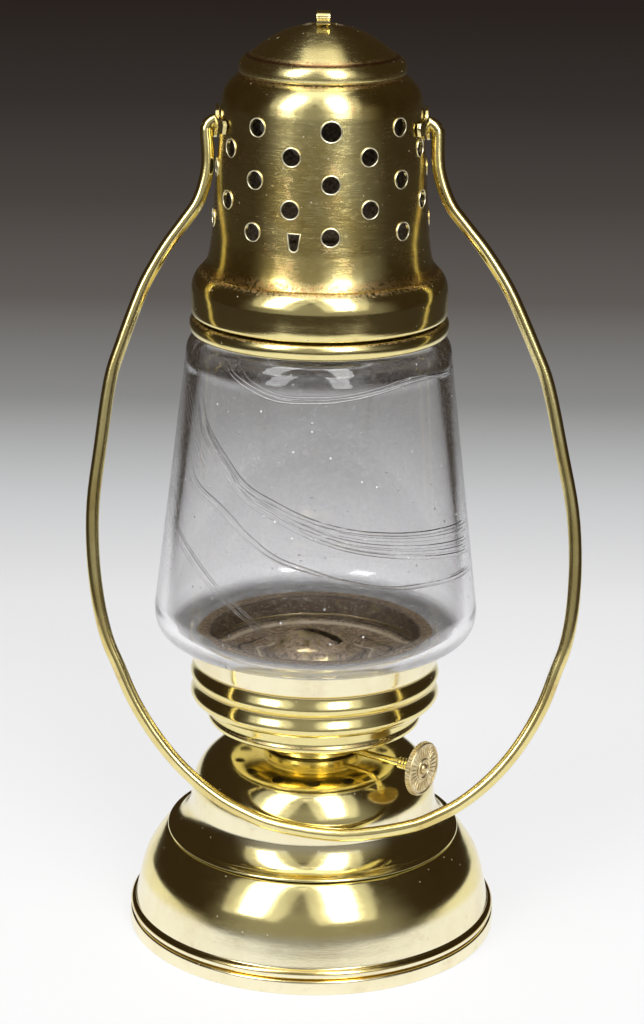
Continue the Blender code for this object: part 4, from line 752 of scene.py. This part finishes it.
def makeWinder():
    s = winderShape
    along = Vector(s["along"]).normalized()
    start = Vector(s["start"]) * mm
    turn = Matrix.Translation(start) @ along.to_track_quat("Z", "Y").to_matrix().to_4x4()
    bossEnd = s["reach"] - wheelFace["Wheel thickness"] / mm / 2 - 0.1
    line = [(0, bossEnd + 0.4), (s["shaft"], bossEnd + 0.4), (s["shaft"], bossEnd)]
    step = s["bossLength"] / s["bossRibs"]
    for k in range(s["bossRibs"]):
        top = bossEnd - k * step
        line += [(s["boss"] - 0.25, top), (s["boss"], top - step * 0.3), (s["boss"], top - step * 0.7),
                 (s["boss"] - 0.25, top - step)]
    line += [(s["shaft"], bossEnd - s["bossLength"] - 0.1), (s["shaft"], s["inner"]), (0, s["inner"])]
    shaftMesh = latheMesh("winderShaft", inMetres(line), 40, False)
    shaftMesh.transform(turn)
    shaft = newPiece("winderShaft", shaftMesh)
    shaftMesh.set_sharp_from_angle(angle=radians(38))
    settle(shaft, "winder", "polished_brass", brassMaterial("shaftBrass", roughness=0.2, brushing=0.2, tarnish=0.5),
           "winder_shaft")
    material = wheelMaterial()
    wheel = newPiece("thumbwheelFace", bpy.data.meshes.new("thumbwheelFace"))
    applyTree(wheel, thumbwheelTree(material), wheelFace)
    wheel.data.transform(turn @ Matrix.Translation((0, 0, s["reach"] * mm)))
    settle(wheel, "winder", "polished_brass", material, "thumbwheel", "thumbwheel_hub")


makeWinder()
print("winder made")


# Globe: tapered clear glass with cords and seeds, held in brass

globeShape = {"shoulder": (21.6, 120.3, 25.2, 116.0), "corner": (22.2, 59.8, 31.2, 66.2), "top": 122.6,
              "bottom": 57.2, "wall": 2.4, "neckWall": 2.2, "floor": 0.9,
              "ledge": {"steepest": 0.3, "radius": 22.6, "height": 61.6, "neck": 20.4}}


def quarter(inner, outer, upward, power=2.0, steps=14):
    # superellipse from (inner, far end) round to (outer, near end)
    out = []
    for k in range(steps + 1):
        t = pi / 2 * k / steps
        share, rise = sin(t) ** (2 / power), cos(t) ** (2 / power)
        out.append((inner[0] + (outer[0] - inner[0]) * share, outer[1] + (inner[1] - outer[1]) * rise))
    return out


def makeGlassMaterial():
    material, tree, shader, place = newMaterial("clearGlass")
    parts = put(tree, "ShaderNodeSeparateXYZ", {0: place})
    x, y, z = parts.outputs[0], parts.outputs[1], parts.outputs[2]
    # round share: 0.5 at the front, 0 and 1 at the back
    around = calc(tree, "ADD", calc(tree, "DIVIDE", calc(tree, "ARCTAN2", x, calc(tree, "MULTIPLY", y, -1.0)),
                                    2 * pi), 0.5)
    drift = calc(tree, "MULTIPLY", calc(tree, "SUBTRACT", grain(tree, place, 60.0, 2.0), 0.5), 0.4 * mm)
    level = calc(tree, "ADD", z, drift)
    cords = 0.0
    for points, lines in glassCords:
        curve = put(tree, "ShaderNodeFloatCurve", {"Value": around})
        path = curve.mapping.curves[0].points
        path[0].location, path[1].location = (0, cordShare(points[0][1])), (1, cordShare(points[-1][1]))
        for turn, height in points:
            path.new(0.5 + turn / 360, cordShare(height))
        curve.mapping.update()
        middle = calc(tree, "ADD", calc(tree, "MULTIPLY", curve.outputs[0], (cordTop - cordFoot) * mm),
                      cordFoot * mm)
        first, last = 0.5 + points[0][0] / 360, 0.5 + points[-1][0] / 360
        within = calc(tree, "MULTIPLY", fade(tree, around, first, first + 0.03),
                      fade(tree, around, last - 0.03, last, 1.0, 0.0))
        for offset, spread, width, strength in lines:
            fan = calc(tree, "ADD", calc(tree, "MULTIPLY", calc(tree, "SUBTRACT", around, first), spread * mm),
                       offset * mm)
            away = calc(tree, "ABSOLUTE", calc(tree, "SUBTRACT", level, calc(tree, "ADD", middle, fan)))
            line = calc(tree, "MULTIPLY", fade(tree, away, 0.0, width * mm, strength, 0.0), within)
            cords = calc(tree, "MAXIMUM", cords, line)
    streaky = grain(tree, stretched(tree, place, 1.0, 1.0, 3.0), 160.0, 3.0, 0.6, 0.6)
    cords = calc(tree, "MULTIPLY", cords, fade(tree, streaky, 0.3, 0.55, 0.35, 1.0))
    wobble = put(tree, "ShaderNodeBump", {"Height": grain(tree, place, 42.0, 2.0), "Distance": 0.5 * mm,
                                         "Strength": 0.14})
    seeds = put(tree, "ShaderNodeTexVoronoi", {"Vector": place, "Scale": 330.0})
    chance = put(tree, "ShaderNodeSeparateXYZ", {0: seeds.outputs["Color"]}).outputs[0]
    seedDots = calc(tree, "MULTIPLY", fade(tree, seeds.outputs["Distance"], 0.03, 0.09, 1.0, 0.0),
                    calc(tree, "GREATER_THAN", chance, 0.4))
    scratches = grain(tree, stretched(tree, place, 1.0, 1.0, 0.15), 700.0, 3.0, 0.7, 2.0)
    fine = put(tree, "ShaderNodeBump", {"Height": calc(tree, "ADD", seedDots, calc(tree, "MULTIPLY", scratches, 0.1)),
                                       "Distance": 0.10 * mm, "Strength": 0.5, "Normal": wobble.outputs[0]})
    streaks = put(tree, "ShaderNodeBump", {"Height": cords, "Distance": 0.12 * mm, "Strength": 0.8,
                                          "Normal": fine.outputs[0]})
    tree.links.new(streaks.outputs[0], shader.inputs["Normal"])
    edge = put(tree, "ShaderNodeLayerWeight", {"Blend": 0.25}).outputs["Facing"]
    colour = blendColour(tree, fade(tree, grain(tree, place, 25.0, 2.0), 0.3, 0.7), (0.97, 0.966, 0.974),
                         (0.985, 0.982, 0.988))
    # darker purple-brown where the glass is seen edge-on: a tint for the longer path through it and painted shade at
    # the edges
    colour = blendColour(tree, fade(tree, edge, 0.35, 1.0, 0.0, 0.9), colour, (0.60, 0.51, 0.57))
    # the cords are painted darker too: painted shade along them
    colour = blendColour(tree, calc(tree, "MULTIPLY", cords, 0.22), colour, (0.42, 0.39, 0.42))
    tree.links.new(colour, shader.inputs["Base Color"])
    tree.links.new(calc(tree, "ADD", 0.004, calc(tree, "MULTIPLY", cords, 0.1)), shader.inputs["Roughness"])
    shader.inputs["IOR"].default_value = 1.5
    # the lip just over the collar is clouded whitish: painted light for the lit plaster seen through the glass there
    lip = calc(tree, "MULTIPLY", fade(tree, z, 59.8 * mm, 62.2 * mm, 0.85, 0.0),
               fade(tree, grain(tree, place, 180.0, 4.0, 0.6), 0.3, 0.6, 0.6, 1.0))
    # a thin film of dust lies on the glass over the deck's level
    film = calc(tree, "MULTIPLY", fade(tree, grain(tree, place, 1500.0, 4.0, 0.75), 0.45, 0.7, 0.0, 0.1),
                fade(tree, z, 70.0 * mm, 84.0 * mm))
    cloudy = calc(tree, "MAXIMUM", calc(tree, "MAXIMUM", lip, film), calc(tree, "MULTIPLY", seedDots, 0.7))
    tree.links.new(calc(tree, "SUBTRACT", 1.0, cloudy), shader.inputs["Transmission Weight"])
    return material


# Cords in the glass: points as (degrees round from the front, height), then a line for each
# (offset, fan to the right, half width, strength)
cordFoot, cordTop = 60.0, 122.0
glassCords = ((((-46, 118.5), (-37, 116), (-26, 114), (-16, 113), (-2, 113), (12, 113.5), (28, 114.5), (44, 115.5),
                (79, 114)),
               ((0, 0, 0.13, 1.0), (1.0, -3.0, 0.11, 0.5))),
              (((-62, 111), (-55, 106.5), (-41, 101), (-29, 96.5), (-16, 94), (-3, 91.5), (11, 89.5), (29, 88),
                (52, 86.5), (80, 85)),
               ((0, 0, 0.13, 0.9), (-0.4, -2.6, 0.10, 0.28), (-0.7, -6.5, 0.11, 0.42), (-0.9, -9.5, 0.10, 0.25),
                (-1.1, -12.0, 0.11, 0.38))),
              (((-66, 99), (-58, 95), (-40, 91.5), (-26, 87), (-15, 84), (-2, 82), (11, 80), (28, 78), (45, 77),
                (81, 75.5)),
               ((0, 0, 0.11, 0.45), (-0.7, 3.0, 0.10, 0.15))),
              (((-86, 90), (-70, 84.5), (-53, 80), (-36, 75), (-24, 71.5), (-12, 68.5)),
               ((0, 0, 0.11, 0.4), (0.8, -2.0, 0.10, 0.3))),
              (((-88, 118), (-75, 110), (-62, 104), (-50, 97)),
               ((0, 0, 0.12, 0.5), (1.5, 0, 0.12, 0.5), (3.0, 0, 0.12, 0.45), (4.5, 0, 0.12, 0.4))))


def cordShare(height):
    return (height - cordFoot) / (cordTop - cordFoot)

collarShape = {"bandTop": 59.3, "band": 24.0, "crease": 0.6, "beadTop": 55.1, "beadHeight": 4.0, "bulge": 0.85,
               "sheet": 0.5, "ledge": (21.0, 56.4, 56.9)}

ringShape = {"spigot": (21.3, 21.8, 127.3), "top": 123.4, "ledge": 122.9, "bead": 23.6, "height": 3.0,
             "bulge": 0.9, "sheet": 0.5}


def makeGlobe():
    r0, z0, r1, z1 = globeShape["shoulder"]
    shoulder = quarter((r0, z0), (r1, z1), False, 2.2)
    c0, d0, c1, d1 = globeShape["corner"]
    corner = quarter((c0, d0), (c1, d1), True, 2.9)[::-1]
    outer = [(r0, globeShape["top"])] + shoulder + corner + [(c0, globeShape["bottom"])]
    wall, neck = globeShape["wall"], globeShape["neckWall"]
    lowBend = quarter((c0 - neck, d0 + globeShape["floor"]), (c1 - wall, d1 + 0.4), True, 2.7)
    highBend = quarter((r0 - neck, z0 - wall * 0.9), (r1 - wall, z1 - wall), False, 2.2)[::-1]
    inner = [(c0 - neck, globeShape["bottom"])] + lowBend + highBend + [(r0 - neck, globeShape["top"])]
    loop = dense(soften(inMetres(outer + inner), 0.4 * mm, True), True)
    glass = settle(newPiece("glassGlobe", latheMesh("glassGlobe", loop, 192)), "globe", "clear_glass",
                   makeGlassMaterial(), "glass_globe")
    # sooty dust lies on the ledge inside the foot of the glass
    glass.data.materials.append(sootMaterial("ledgeSoot", 0.3, rings=True))
    ledge = globeShape["ledge"]
    for face in glass.data.polygons:
        across = hypot(face.center.x, face.center.y)
        onLedge = face.normal.z > ledge["steepest"] and across < ledge["radius"] * mm
        if (onLedge or across < ledge["neck"] * mm) and face.center.z < ledge["height"] * mm:
            face.material_index = 1

    s = collarShape
    base = s["band"] - s["crease"]
    beads = (droopBead(base, s["beadTop"], s["beadTop"] - s["beadHeight"], s["bulge"])
             + droopBead(base, s["beadTop"] - s["beadHeight"], s["beadTop"] - 2 * s["beadHeight"], s["bulge"])[1:])
    outerLine = [(s["band"], s["bandTop"]), (s["band"], s["beadTop"] + 0.5)] + beads
    innerBeads = [(r - s["sheet"], z) for r, z in beads][::-1]
    ledge = [(base - s["sheet"], s["ledge"][1]), (s["ledge"][0], s["ledge"][1]), (s["ledge"][0], s["ledge"][2]),
             (s["band"] - s["sheet"], s["ledge"][2]), (s["band"] - s["sheet"], s["bandTop"])]
    loop = dense(soften(inMetres(outerLine + innerBeads + ledge), 0.15 * mm, True), True)
    # pale band: a painted reflection of the floor on the upright band; even lines: painted shade in the bead creases
    polished = brassMaterial("collarBrass", roughness=0.11, brushing=0.2, shadeAndResidueLines=((55.15, 0.22, "shadeAndResidueLines"), (51.1, 0.18, "shadeAndResidueLines")),
                             pale=((57.6, 2.0, 0.6),))
    settle(newPiece("lowerCollar", latheMesh("lowerCollar", loop)), "globe", "polished_brass", polished,
           "lower_globe_collar")

    s = ringShape
    bead = halfBead(s["bead"], s["top"], s["top"] - s["height"], s["bulge"])
    innerBead = halfBead(s["bead"] - s["sheet"], s["ledge"], s["top"] - s["height"] + s["sheet"] / 2, s["bulge"])
    bore, spigot, high = s["spigot"]
    line = [(bore, high), (spigot, high), (spigot, s["top"])] + bead + innerBead[::-1] + [(bore, s["ledge"])]
    loop = dense(soften(inMetres(line), 0.15 * mm, True), True)
    settle(newPiece("upperRing", latheMesh("upperRing", loop)), "globe", "polished_brass",
           brassMaterial("ringBrass", roughness=0.13, brushing=0.3, creases=((123.2, 0.3),)), "upper_globe_ring")


makeGlobe()
print("globe made")


# Cap: band, perforated wall, domed top and strap loop

capShape = {"bandShoulder": [(20.3, 132.9), (21.4, 132.8), (22.6, 132.2), (23.6, 130.9), (24.1, 129.3), (24.2, 127.7)],
            "bandLip": [(24.2, 125.0), (24.1, 124.35), (23.7, 123.9), (22.3, 123.7)],
            "wallShoulder": [(14.5, 169.15), (15.3, 168.75), (16.0, 168.3), (16.67, 167.8), (17.6, 166.7),
                             (18.3, 165.4), (18.68, 163.6)],
            "wallFoot": [(20.35, 138.8), (20.7, 136.3), (21.1, 134.4), (21.6, 133.35), (22.1, 132.75)],
            "dome": [(0, 178.1), (2.2, 178.0), (4.45, 177.5), (6.8, 176.8), (9.6, 175.4), (12.4, 173.4),
                     (13.8, 172.25)],
            "domeBead": (13.95, 172.2, 168.8, 1.2), "domeSpread": 0.7, "sheet": 0.6, "thinSheet": 0.5,
            "vents": 5.4, "ventRadius": 1.2,
            "oddHole": {"turn": -13.7, "height": 141.3, "width": 2.4, "foot": 1.7, "tall": 3.3, "radius": 20.2,
                        "burr": 0.15}}


def oddHoleLine():
    # flat on top, drawn in towards a round foot
    s = capShape["oddHole"]
    half, foot = s["width"] / 2 * mm, s["foot"] / 2 * mm
    low = -s["tall"] / 2 * mm + foot
    ring = [(half, s["tall"] / 2 * mm), (-half, s["tall"] / 2 * mm)]
    ring += [(foot * cos(pi + pi * k / 12), low + foot * sin(pi + pi * k / 12)) for k in range(13)]
    turn = Matrix.Translation((0, 0, s["height"] * mm)) @ Matrix.Rotation(radians(s["turn"]), 4, "Z")
    return ring, turn


def makeOddBurr(material):
    s = capShape["oddHole"]
    ring, turn = oddHoleLine()
    curve = bpy.data.curves.new("oddHoleBurr", "CURVE")
    curve.dimensions = "3D"
    curve.bevel_depth = s["burr"] * mm
    curve.bevel_resolution = 2
    spline = curve.splines.new("POLY")
    spline.points.add(len(ring) - 1)
    spline.use_cyclic_u = True
    for point, (x, z) in zip(spline.points, ring):
        front = -((s["radius"] + 0.08) * mm - z * 0.067)
        point.co = (*(turn @ Vector((x, front + x * x * 0.5 / (s["radius"] * mm), z))), 1)
    line = newPiece("oddHoleCurve", curve)
    bpy.context.view_layer.update()
    mesh = bpy.data.meshes.new_from_object(line.evaluated_get(bpy.context.evaluated_depsgraph_get()))
    discard(line)
    mesh.shade_smooth()
    settle(newPiece("oddHoleBurr", mesh), "cap", "polished_brass", material)


def oddHoleTool():
    s = capShape["oddHole"]
    ring, turn = oddHoleLine()
    shape = bmesh.new()
    near = [shape.verts.new(turn @ Vector((x, -(s["radius"] - 3) * mm, z))) for x, z in ring]
    far = [shape.verts.new(turn @ Vector((x, -(s["radius"] + 3) * mm, z))) for x, z in ring]
    shape.faces.new(near)
    shape.faces.new(far)
    for k in range(len(ring)):
        n = (k + 1) % len(ring)
        shape.faces.new((near[k], near[n], far[n], far[k]))
    bmesh.ops.recalc_face_normals(shape, faces=shape.faces)
    mesh = bpy.data.meshes.new("oddHoleTool")
    shape.to_mesh(mesh)
    shape.free()
    return newPiece("oddHoleTool", mesh)


def makeCap():
    bandLine = splineLine(capShape["bandShoulder"]) + splineLine(capShape["bandLip"])
    loop = sheetLoop(dense(soften(inMetres(bandLine), 0.2 * mm)), capShape["thinSheet"] * mm)
    bandBrass = brassMaterial("bandBrass", roughness=0.08, brushing=0.3, creases=((132.3, 0.9),), tarnish=0.5, specks=0.8)
    band = settle(newPiece("capBand", latheMesh("capBand", loop)), "cap", "polished_brass", bandBrass,
                  "chimney_band")
    darkSoot = sootMaterial("capSoot", 0.0, 0.35)
    sootInside(band, darkSoot)

    wallBrass = brassMaterial("chimneyBrass", roughness=0.13, brushing=0.5, anisotropy=0.8, tarnish=1.05,
                              creases=((168.6, 0.4), (133.3, 1.5)), specks=0.9)
    wallLine = splineLine(capShape["wallShoulder"]) + splineLine(capShape["wallFoot"])
    loop = sheetLoop(dense(soften(inMetres(wallLine), 0.2 * mm)), capShape["sheet"] * mm)
    wall = newPiece("chimneyWall", latheMesh("chimneyWall", loop, 128))
    tool = oddHoleTool()
    ears = [cylinderTool("earHole" + str(side), 1.55 * mm, 8 * mm,
                         Matrix.Translation((side * 19 * mm, 0, 160 * mm)) @ Matrix.Rotation(pi / 2, 4, "Y"))
            for side in (-1, 1)]
    for item in [tool] + ears:
        cutAway(wall, item)
    evaluatedMesh(wall)
    discard(tool, *ears)
    applyTree(wall, perforationTree(), perforation)
    settle(wall, "cap", "polished_brass", wallBrass, "chimney_wall")
    sootInside(wall, darkSoot)
    # the burrs are painted paler all over: a painted highlight on the hole rims
    rimBrass = brassMaterial("burrBrass", roughness=0.34, brushing=0.1, tarnish=0.0, specks=0.0, pale=((150.0, 20.0, 5.0),))
    rims = newPiece("punchedBurrs", bpy.data.meshes.new("punchedBurrs"))
    applyTree(rims, burrTree(rimBrass), perforation)
    settle(rims, "cap", "polished_brass", rimBrass)
    makeOddBurr(rimBrass)

    bead = []
    r, top, bottom, bulge = capShape["domeBead"]
    for radius, z in halfBead(0, top, bottom, bulge):
        bead.append((r + capShape["domeSpread"] * (top - z) / (top - bottom) + radius, z))
    line = splineLine(capShape["dome"]) + bead
    loop = sheetLoop(dense(soften(inMetres(line), 0.2 * mm)), capShape["sheet"] * mm)
    dome = newPiece("domeTop", latheMesh("domeTop", loop))
    vents = [cylinderTool("vent" + str(side), capShape["ventRadius"] * mm, 6 * mm,
                          Matrix.Translation((side * capShape["vents"] / 2 * mm, 0, 178 * mm))) for side in (-1, 1)]
    for item in vents:
        cutAway(dome, item)
    evaluatedMesh(dome)
    discard(*vents)
    domeBrass = brassMaterial("domeBrass", roughness=0.17, brushing=0.5, anisotropy=0.72, tarnish=0.6,
                              creases=((172.7, 0.4), (168.9, 0.4)), specks=0.9, shadeAndResidueLines=((172.3, 0.25, "copper"),))
    settle(dome, "cap", "polished_brass", domeBrass, "dome_cap")
    sootInside(dome, darkSoot)


loopShape = {"width": 2.5, "sheet": 0.7, "foot": 178.35, "halfSpan": 1.9, "footLength": 1.8, "rise": 1.35}


def makeLoop():
    # a strap bent into a small handle, front to back over the dome's top
    s = loopShape
    top = s["foot"] + s["sheet"]
    half = [(s["halfSpan"] + s["footLength"], top - 0.1), (s["halfSpan"] + 0.5, top)]
    arch = [(s["halfSpan"] * cos(pi * k / 14), top + 0.25 + (s["rise"] - 0.25) * sin(pi * k / 14))
            for k in range(15)]
    path = splineLine(half + arch + [(-y, z) for y, z in half[::-1]], 3)
    shape = bmesh.new()
    rows = [[shape.verts.new((x * s["width"] / 2 * mm, y * mm, z * mm)) for x in (-1, -0.5, 0, 0.5, 1)]
            for y, z in path]
    for near, far in zip(rows, rows[1:]):
        for k in range(4):
            shape.faces.new((near[k], near[k + 1], far[k + 1], far[k]))
    bmesh.ops.recalc_face_normals(shape, faces=shape.faces)
    mesh = bpy.data.meshes.new("strapLoop")
    shape.to_mesh(mesh)
    shape.free()
    if mesh.polygons[0].normal.z < 0:
        mesh.flip_normals()
    strap = newPiece("strapLoop", mesh)
    solid = strap.modifiers.new("sheet", "SOLIDIFY")
    solid.thickness, solid.offset = s["sheet"] * mm, -1
    edge = strap.modifiers.new("edge", "BEVEL")
    edge.width, edge.segments, edge.limit_method = 0.15 * mm, 2, "ANGLE"
    evaluatedMesh(strap)
    settle(strap, "cap", "polished_brass", brassMaterial("loopBrass", roughness=0.18, brushing=0.2, tarnish=0.3),
           "top_loop")


earShape = {"pivot": 160.0, "lobe": 3.1, "halfSpan": 8.4, "wing": 2.8, "sheet": 0.6, "hole": 1.55,
            "low": (156.4, 19.46), "high": (163.4, 18.99)}


def makeEars():
    # curved straps that carry the bail, their wings tapering a little downwards
    s = earShape
    low, high = s["low"], s["high"]
    for side, name, node in ((-1, "earLeft", "bail_ear_left"), (1, "earRight", "bail_ear_right")):
        ring = [(high[1], high[0]), (high[1] + s["sheet"], high[0]), (low[1] + s["sheet"], low[0]), (low[1], low[0])]
        ear = newPiece(name, latheMesh(name, inMetres(ring)))
        outline = []
        start = s["wing"] / 2 / s["lobe"]
        for k in range(13):
            turn = start + (pi - 2 * start) * k / 12
            outline.append((s["lobe"] * cos(turn), s["lobe"] * sin(turn)))
        outline += [(-s["halfSpan"] + 0.5, 1.2), (-s["halfSpan"], 0.4), (-s["halfSpan"] + 0.2, -1.2)]
        outline += [(y, -z) for y, z in outline[12::-1]]
        outline += [(s["halfSpan"] - 0.2, -1.2), (s["halfSpan"], 0.4), (s["halfSpan"] - 0.5, 1.2)]
        shape = bmesh.new()
        inner = [shape.verts.new((0, y * mm, (s["pivot"] + z) * mm)) for y, z in outline]
        outer = [shape.verts.new((side * 24 * mm, y * mm, (s["pivot"] + z) * mm)) for y, z in outline]
        shape.faces.new(inner)
        shape.faces.new(outer)
        for k in range(len(outline)):
            n = (k + 1) % len(outline)
            shape.faces.new((inner[k], inner[n], outer[n], outer[k]))
        bmesh.ops.recalc_face_normals(shape, faces=shape.faces)
        mesh = bpy.data.meshes.new("earTrim")
        shape.to_mesh(mesh)
        shape.free()
        trim = newPiece("earTrim", mesh)
        hole = cylinderTool("earBore", s["hole"] * mm, 60 * mm,
                            Matrix.Translation((0, 0, s["pivot"] * mm)) @ Matrix.Rotation(pi / 2, 4, "Y"))
        keepWithin(ear, trim)
        cutAway(ear, hole)
        edge = ear.modifiers.new("edge", "BEVEL")
        edge.width, edge.segments, edge.limit_method = 0.12 * mm, 2, "ANGLE"
        evaluatedMesh(ear)
        discard(trim, hole)
        settle(ear, "cap", "polished_brass", brassMaterial(name + "Brass", roughness=0.16, brushing=0.2, tarnish=0.4),
               node)


makeCap()
makeLoop()
makeEars()
print("cap made")


# Bail: one hooked round wire, hung forward against the font

bailShape = {"pivot": 160.0, "lean": 10.918, "wire": 1.25, "drop": 134.2, "halfWidth": 45.28, "leg": 21.38,
             "hook": 2.0, "legLength": 8.5, "inside": 17.3, "skew": 0.042,
             "shares": ((0.511, 0.108), (0.570, 0.137), (0.641, 0.168), (0.705, 0.201), (0.764, 0.238),
                        (0.850, 0.309), (0.903, 0.361), (0.954, 0.455), (0.992, 0.533), (1.0, 0.604),
                        (0.985, 0.671), (0.954, 0.723), (0.912, 0.760), (0.850, 0.812), (0.760, 0.864),
                        (0.652, 0.909), (0.526, 0.946), (0.410, 0.969), (0.264, 0.988))}


def makeBail():
    s = bailShape
    half = [(s["inside"], 0), (s["leg"] - s["hook"], 0)]
    half += [(s["leg"] - s["hook"] + s["hook"] * sin(pi / 2 * k / 4), s["hook"] * (1 - cos(pi / 2 * k / 4)))
             for k in range(1, 5)]
    half += [(s["leg"], s["legLength"])]
    half += [(width * s["halfWidth"], drop * s["drop"]) for width, drop in s["shares"]]
    right = [(x + s["skew"] * down, -down) for x, down in half]
    left = [(-x + s["skew"] * down, -down) for x, down in half]
    path = splineLine(left + [(s["skew"] * s["drop"], -s["drop"])] + right[::-1], 4)
    curve = bpy.data.curves.new("bailWire", "CURVE")
    curve.dimensions = "3D"
    curve.bevel_depth = s["wire"] * mm
    curve.bevel_resolution = 6
    curve.use_fill_caps = True
    spline = curve.splines.new("POLY")
    spline.points.add(len(path) - 1)
    turn = Matrix.Translation((0, 0, s["pivot"] * mm)) @ Matrix.Rotation(radians(-s["lean"]), 4, "X")
    for point, (x, z) in zip(spline.points, path):
        point.co = (*(turn @ Vector((x * mm, 0, z * mm))), 1)
    wire = newPiece("bailCurve", curve)
    bpy.context.view_layer.update()
    mesh = bpy.data.meshes.new_from_object(wire.evaluated_get(bpy.context.evaluated_depsgraph_get()))
    discard(wire)
    mesh.shade_smooth()
    mesh.set_sharp_from_angle(angle=radians(50))
    bail = newPiece("bailHandle", mesh)
    settle(bail, "bail", "polished_brass", brassMaterial("bailBrass", roughness=0.13, brushing=0.2, tarnish=0.8),
           "bail_wire")


makeBail()
print("bail made")


# CAD nodes that keep their shape

def chalkMaterial(name, light, dark, scale):
    material, tree, shader, place = newMaterial(name)
    clouds = grain(tree, place, scale, 5.0, 0.7)
    tree.links.new(blendColour(tree, fade(tree, clouds, 0.3, 0.7), light, dark), shader.inputs["Base Color"])
    shader.inputs["Roughness"].default_value = 0.9
    bumps = put(tree, "ShaderNodeBump", {"Height": clouds, "Distance": 0.1 * mm, "Strength": 0.5})
    tree.links.new(bumps.outputs[0], shader.inputs["Normal"])
    return material


def paintNode(node, material):
    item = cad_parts[node]
    item.data.materials.clear()
    item.data.materials.append(material)


innerBrass = brassMaterial("innerBrass", roughness=0.25, brushing=0.3, tarnish=0.6)
for node in ("base_plate", "font_collar", "wick_sprocket_inner", "wick_sprocket_outer"):
    paintNode(node, innerBrass)
paintNode("wick_tube", sootMaterial("tubeSoot", 0.8))
plasterWhite = chalkMaterial("plasterWhite", (0.72, 0.68, 0.60), (0.55, 0.49, 0.40), 500.0)
for node in ("lower_plaster", "upper_plaster"):
    paintNode(node, plasterWhite)
paintNode("wick", chalkMaterial("wickCotton", (0.55, 0.48, 0.36), (0.10, 0.07, 0.05), 900.0))
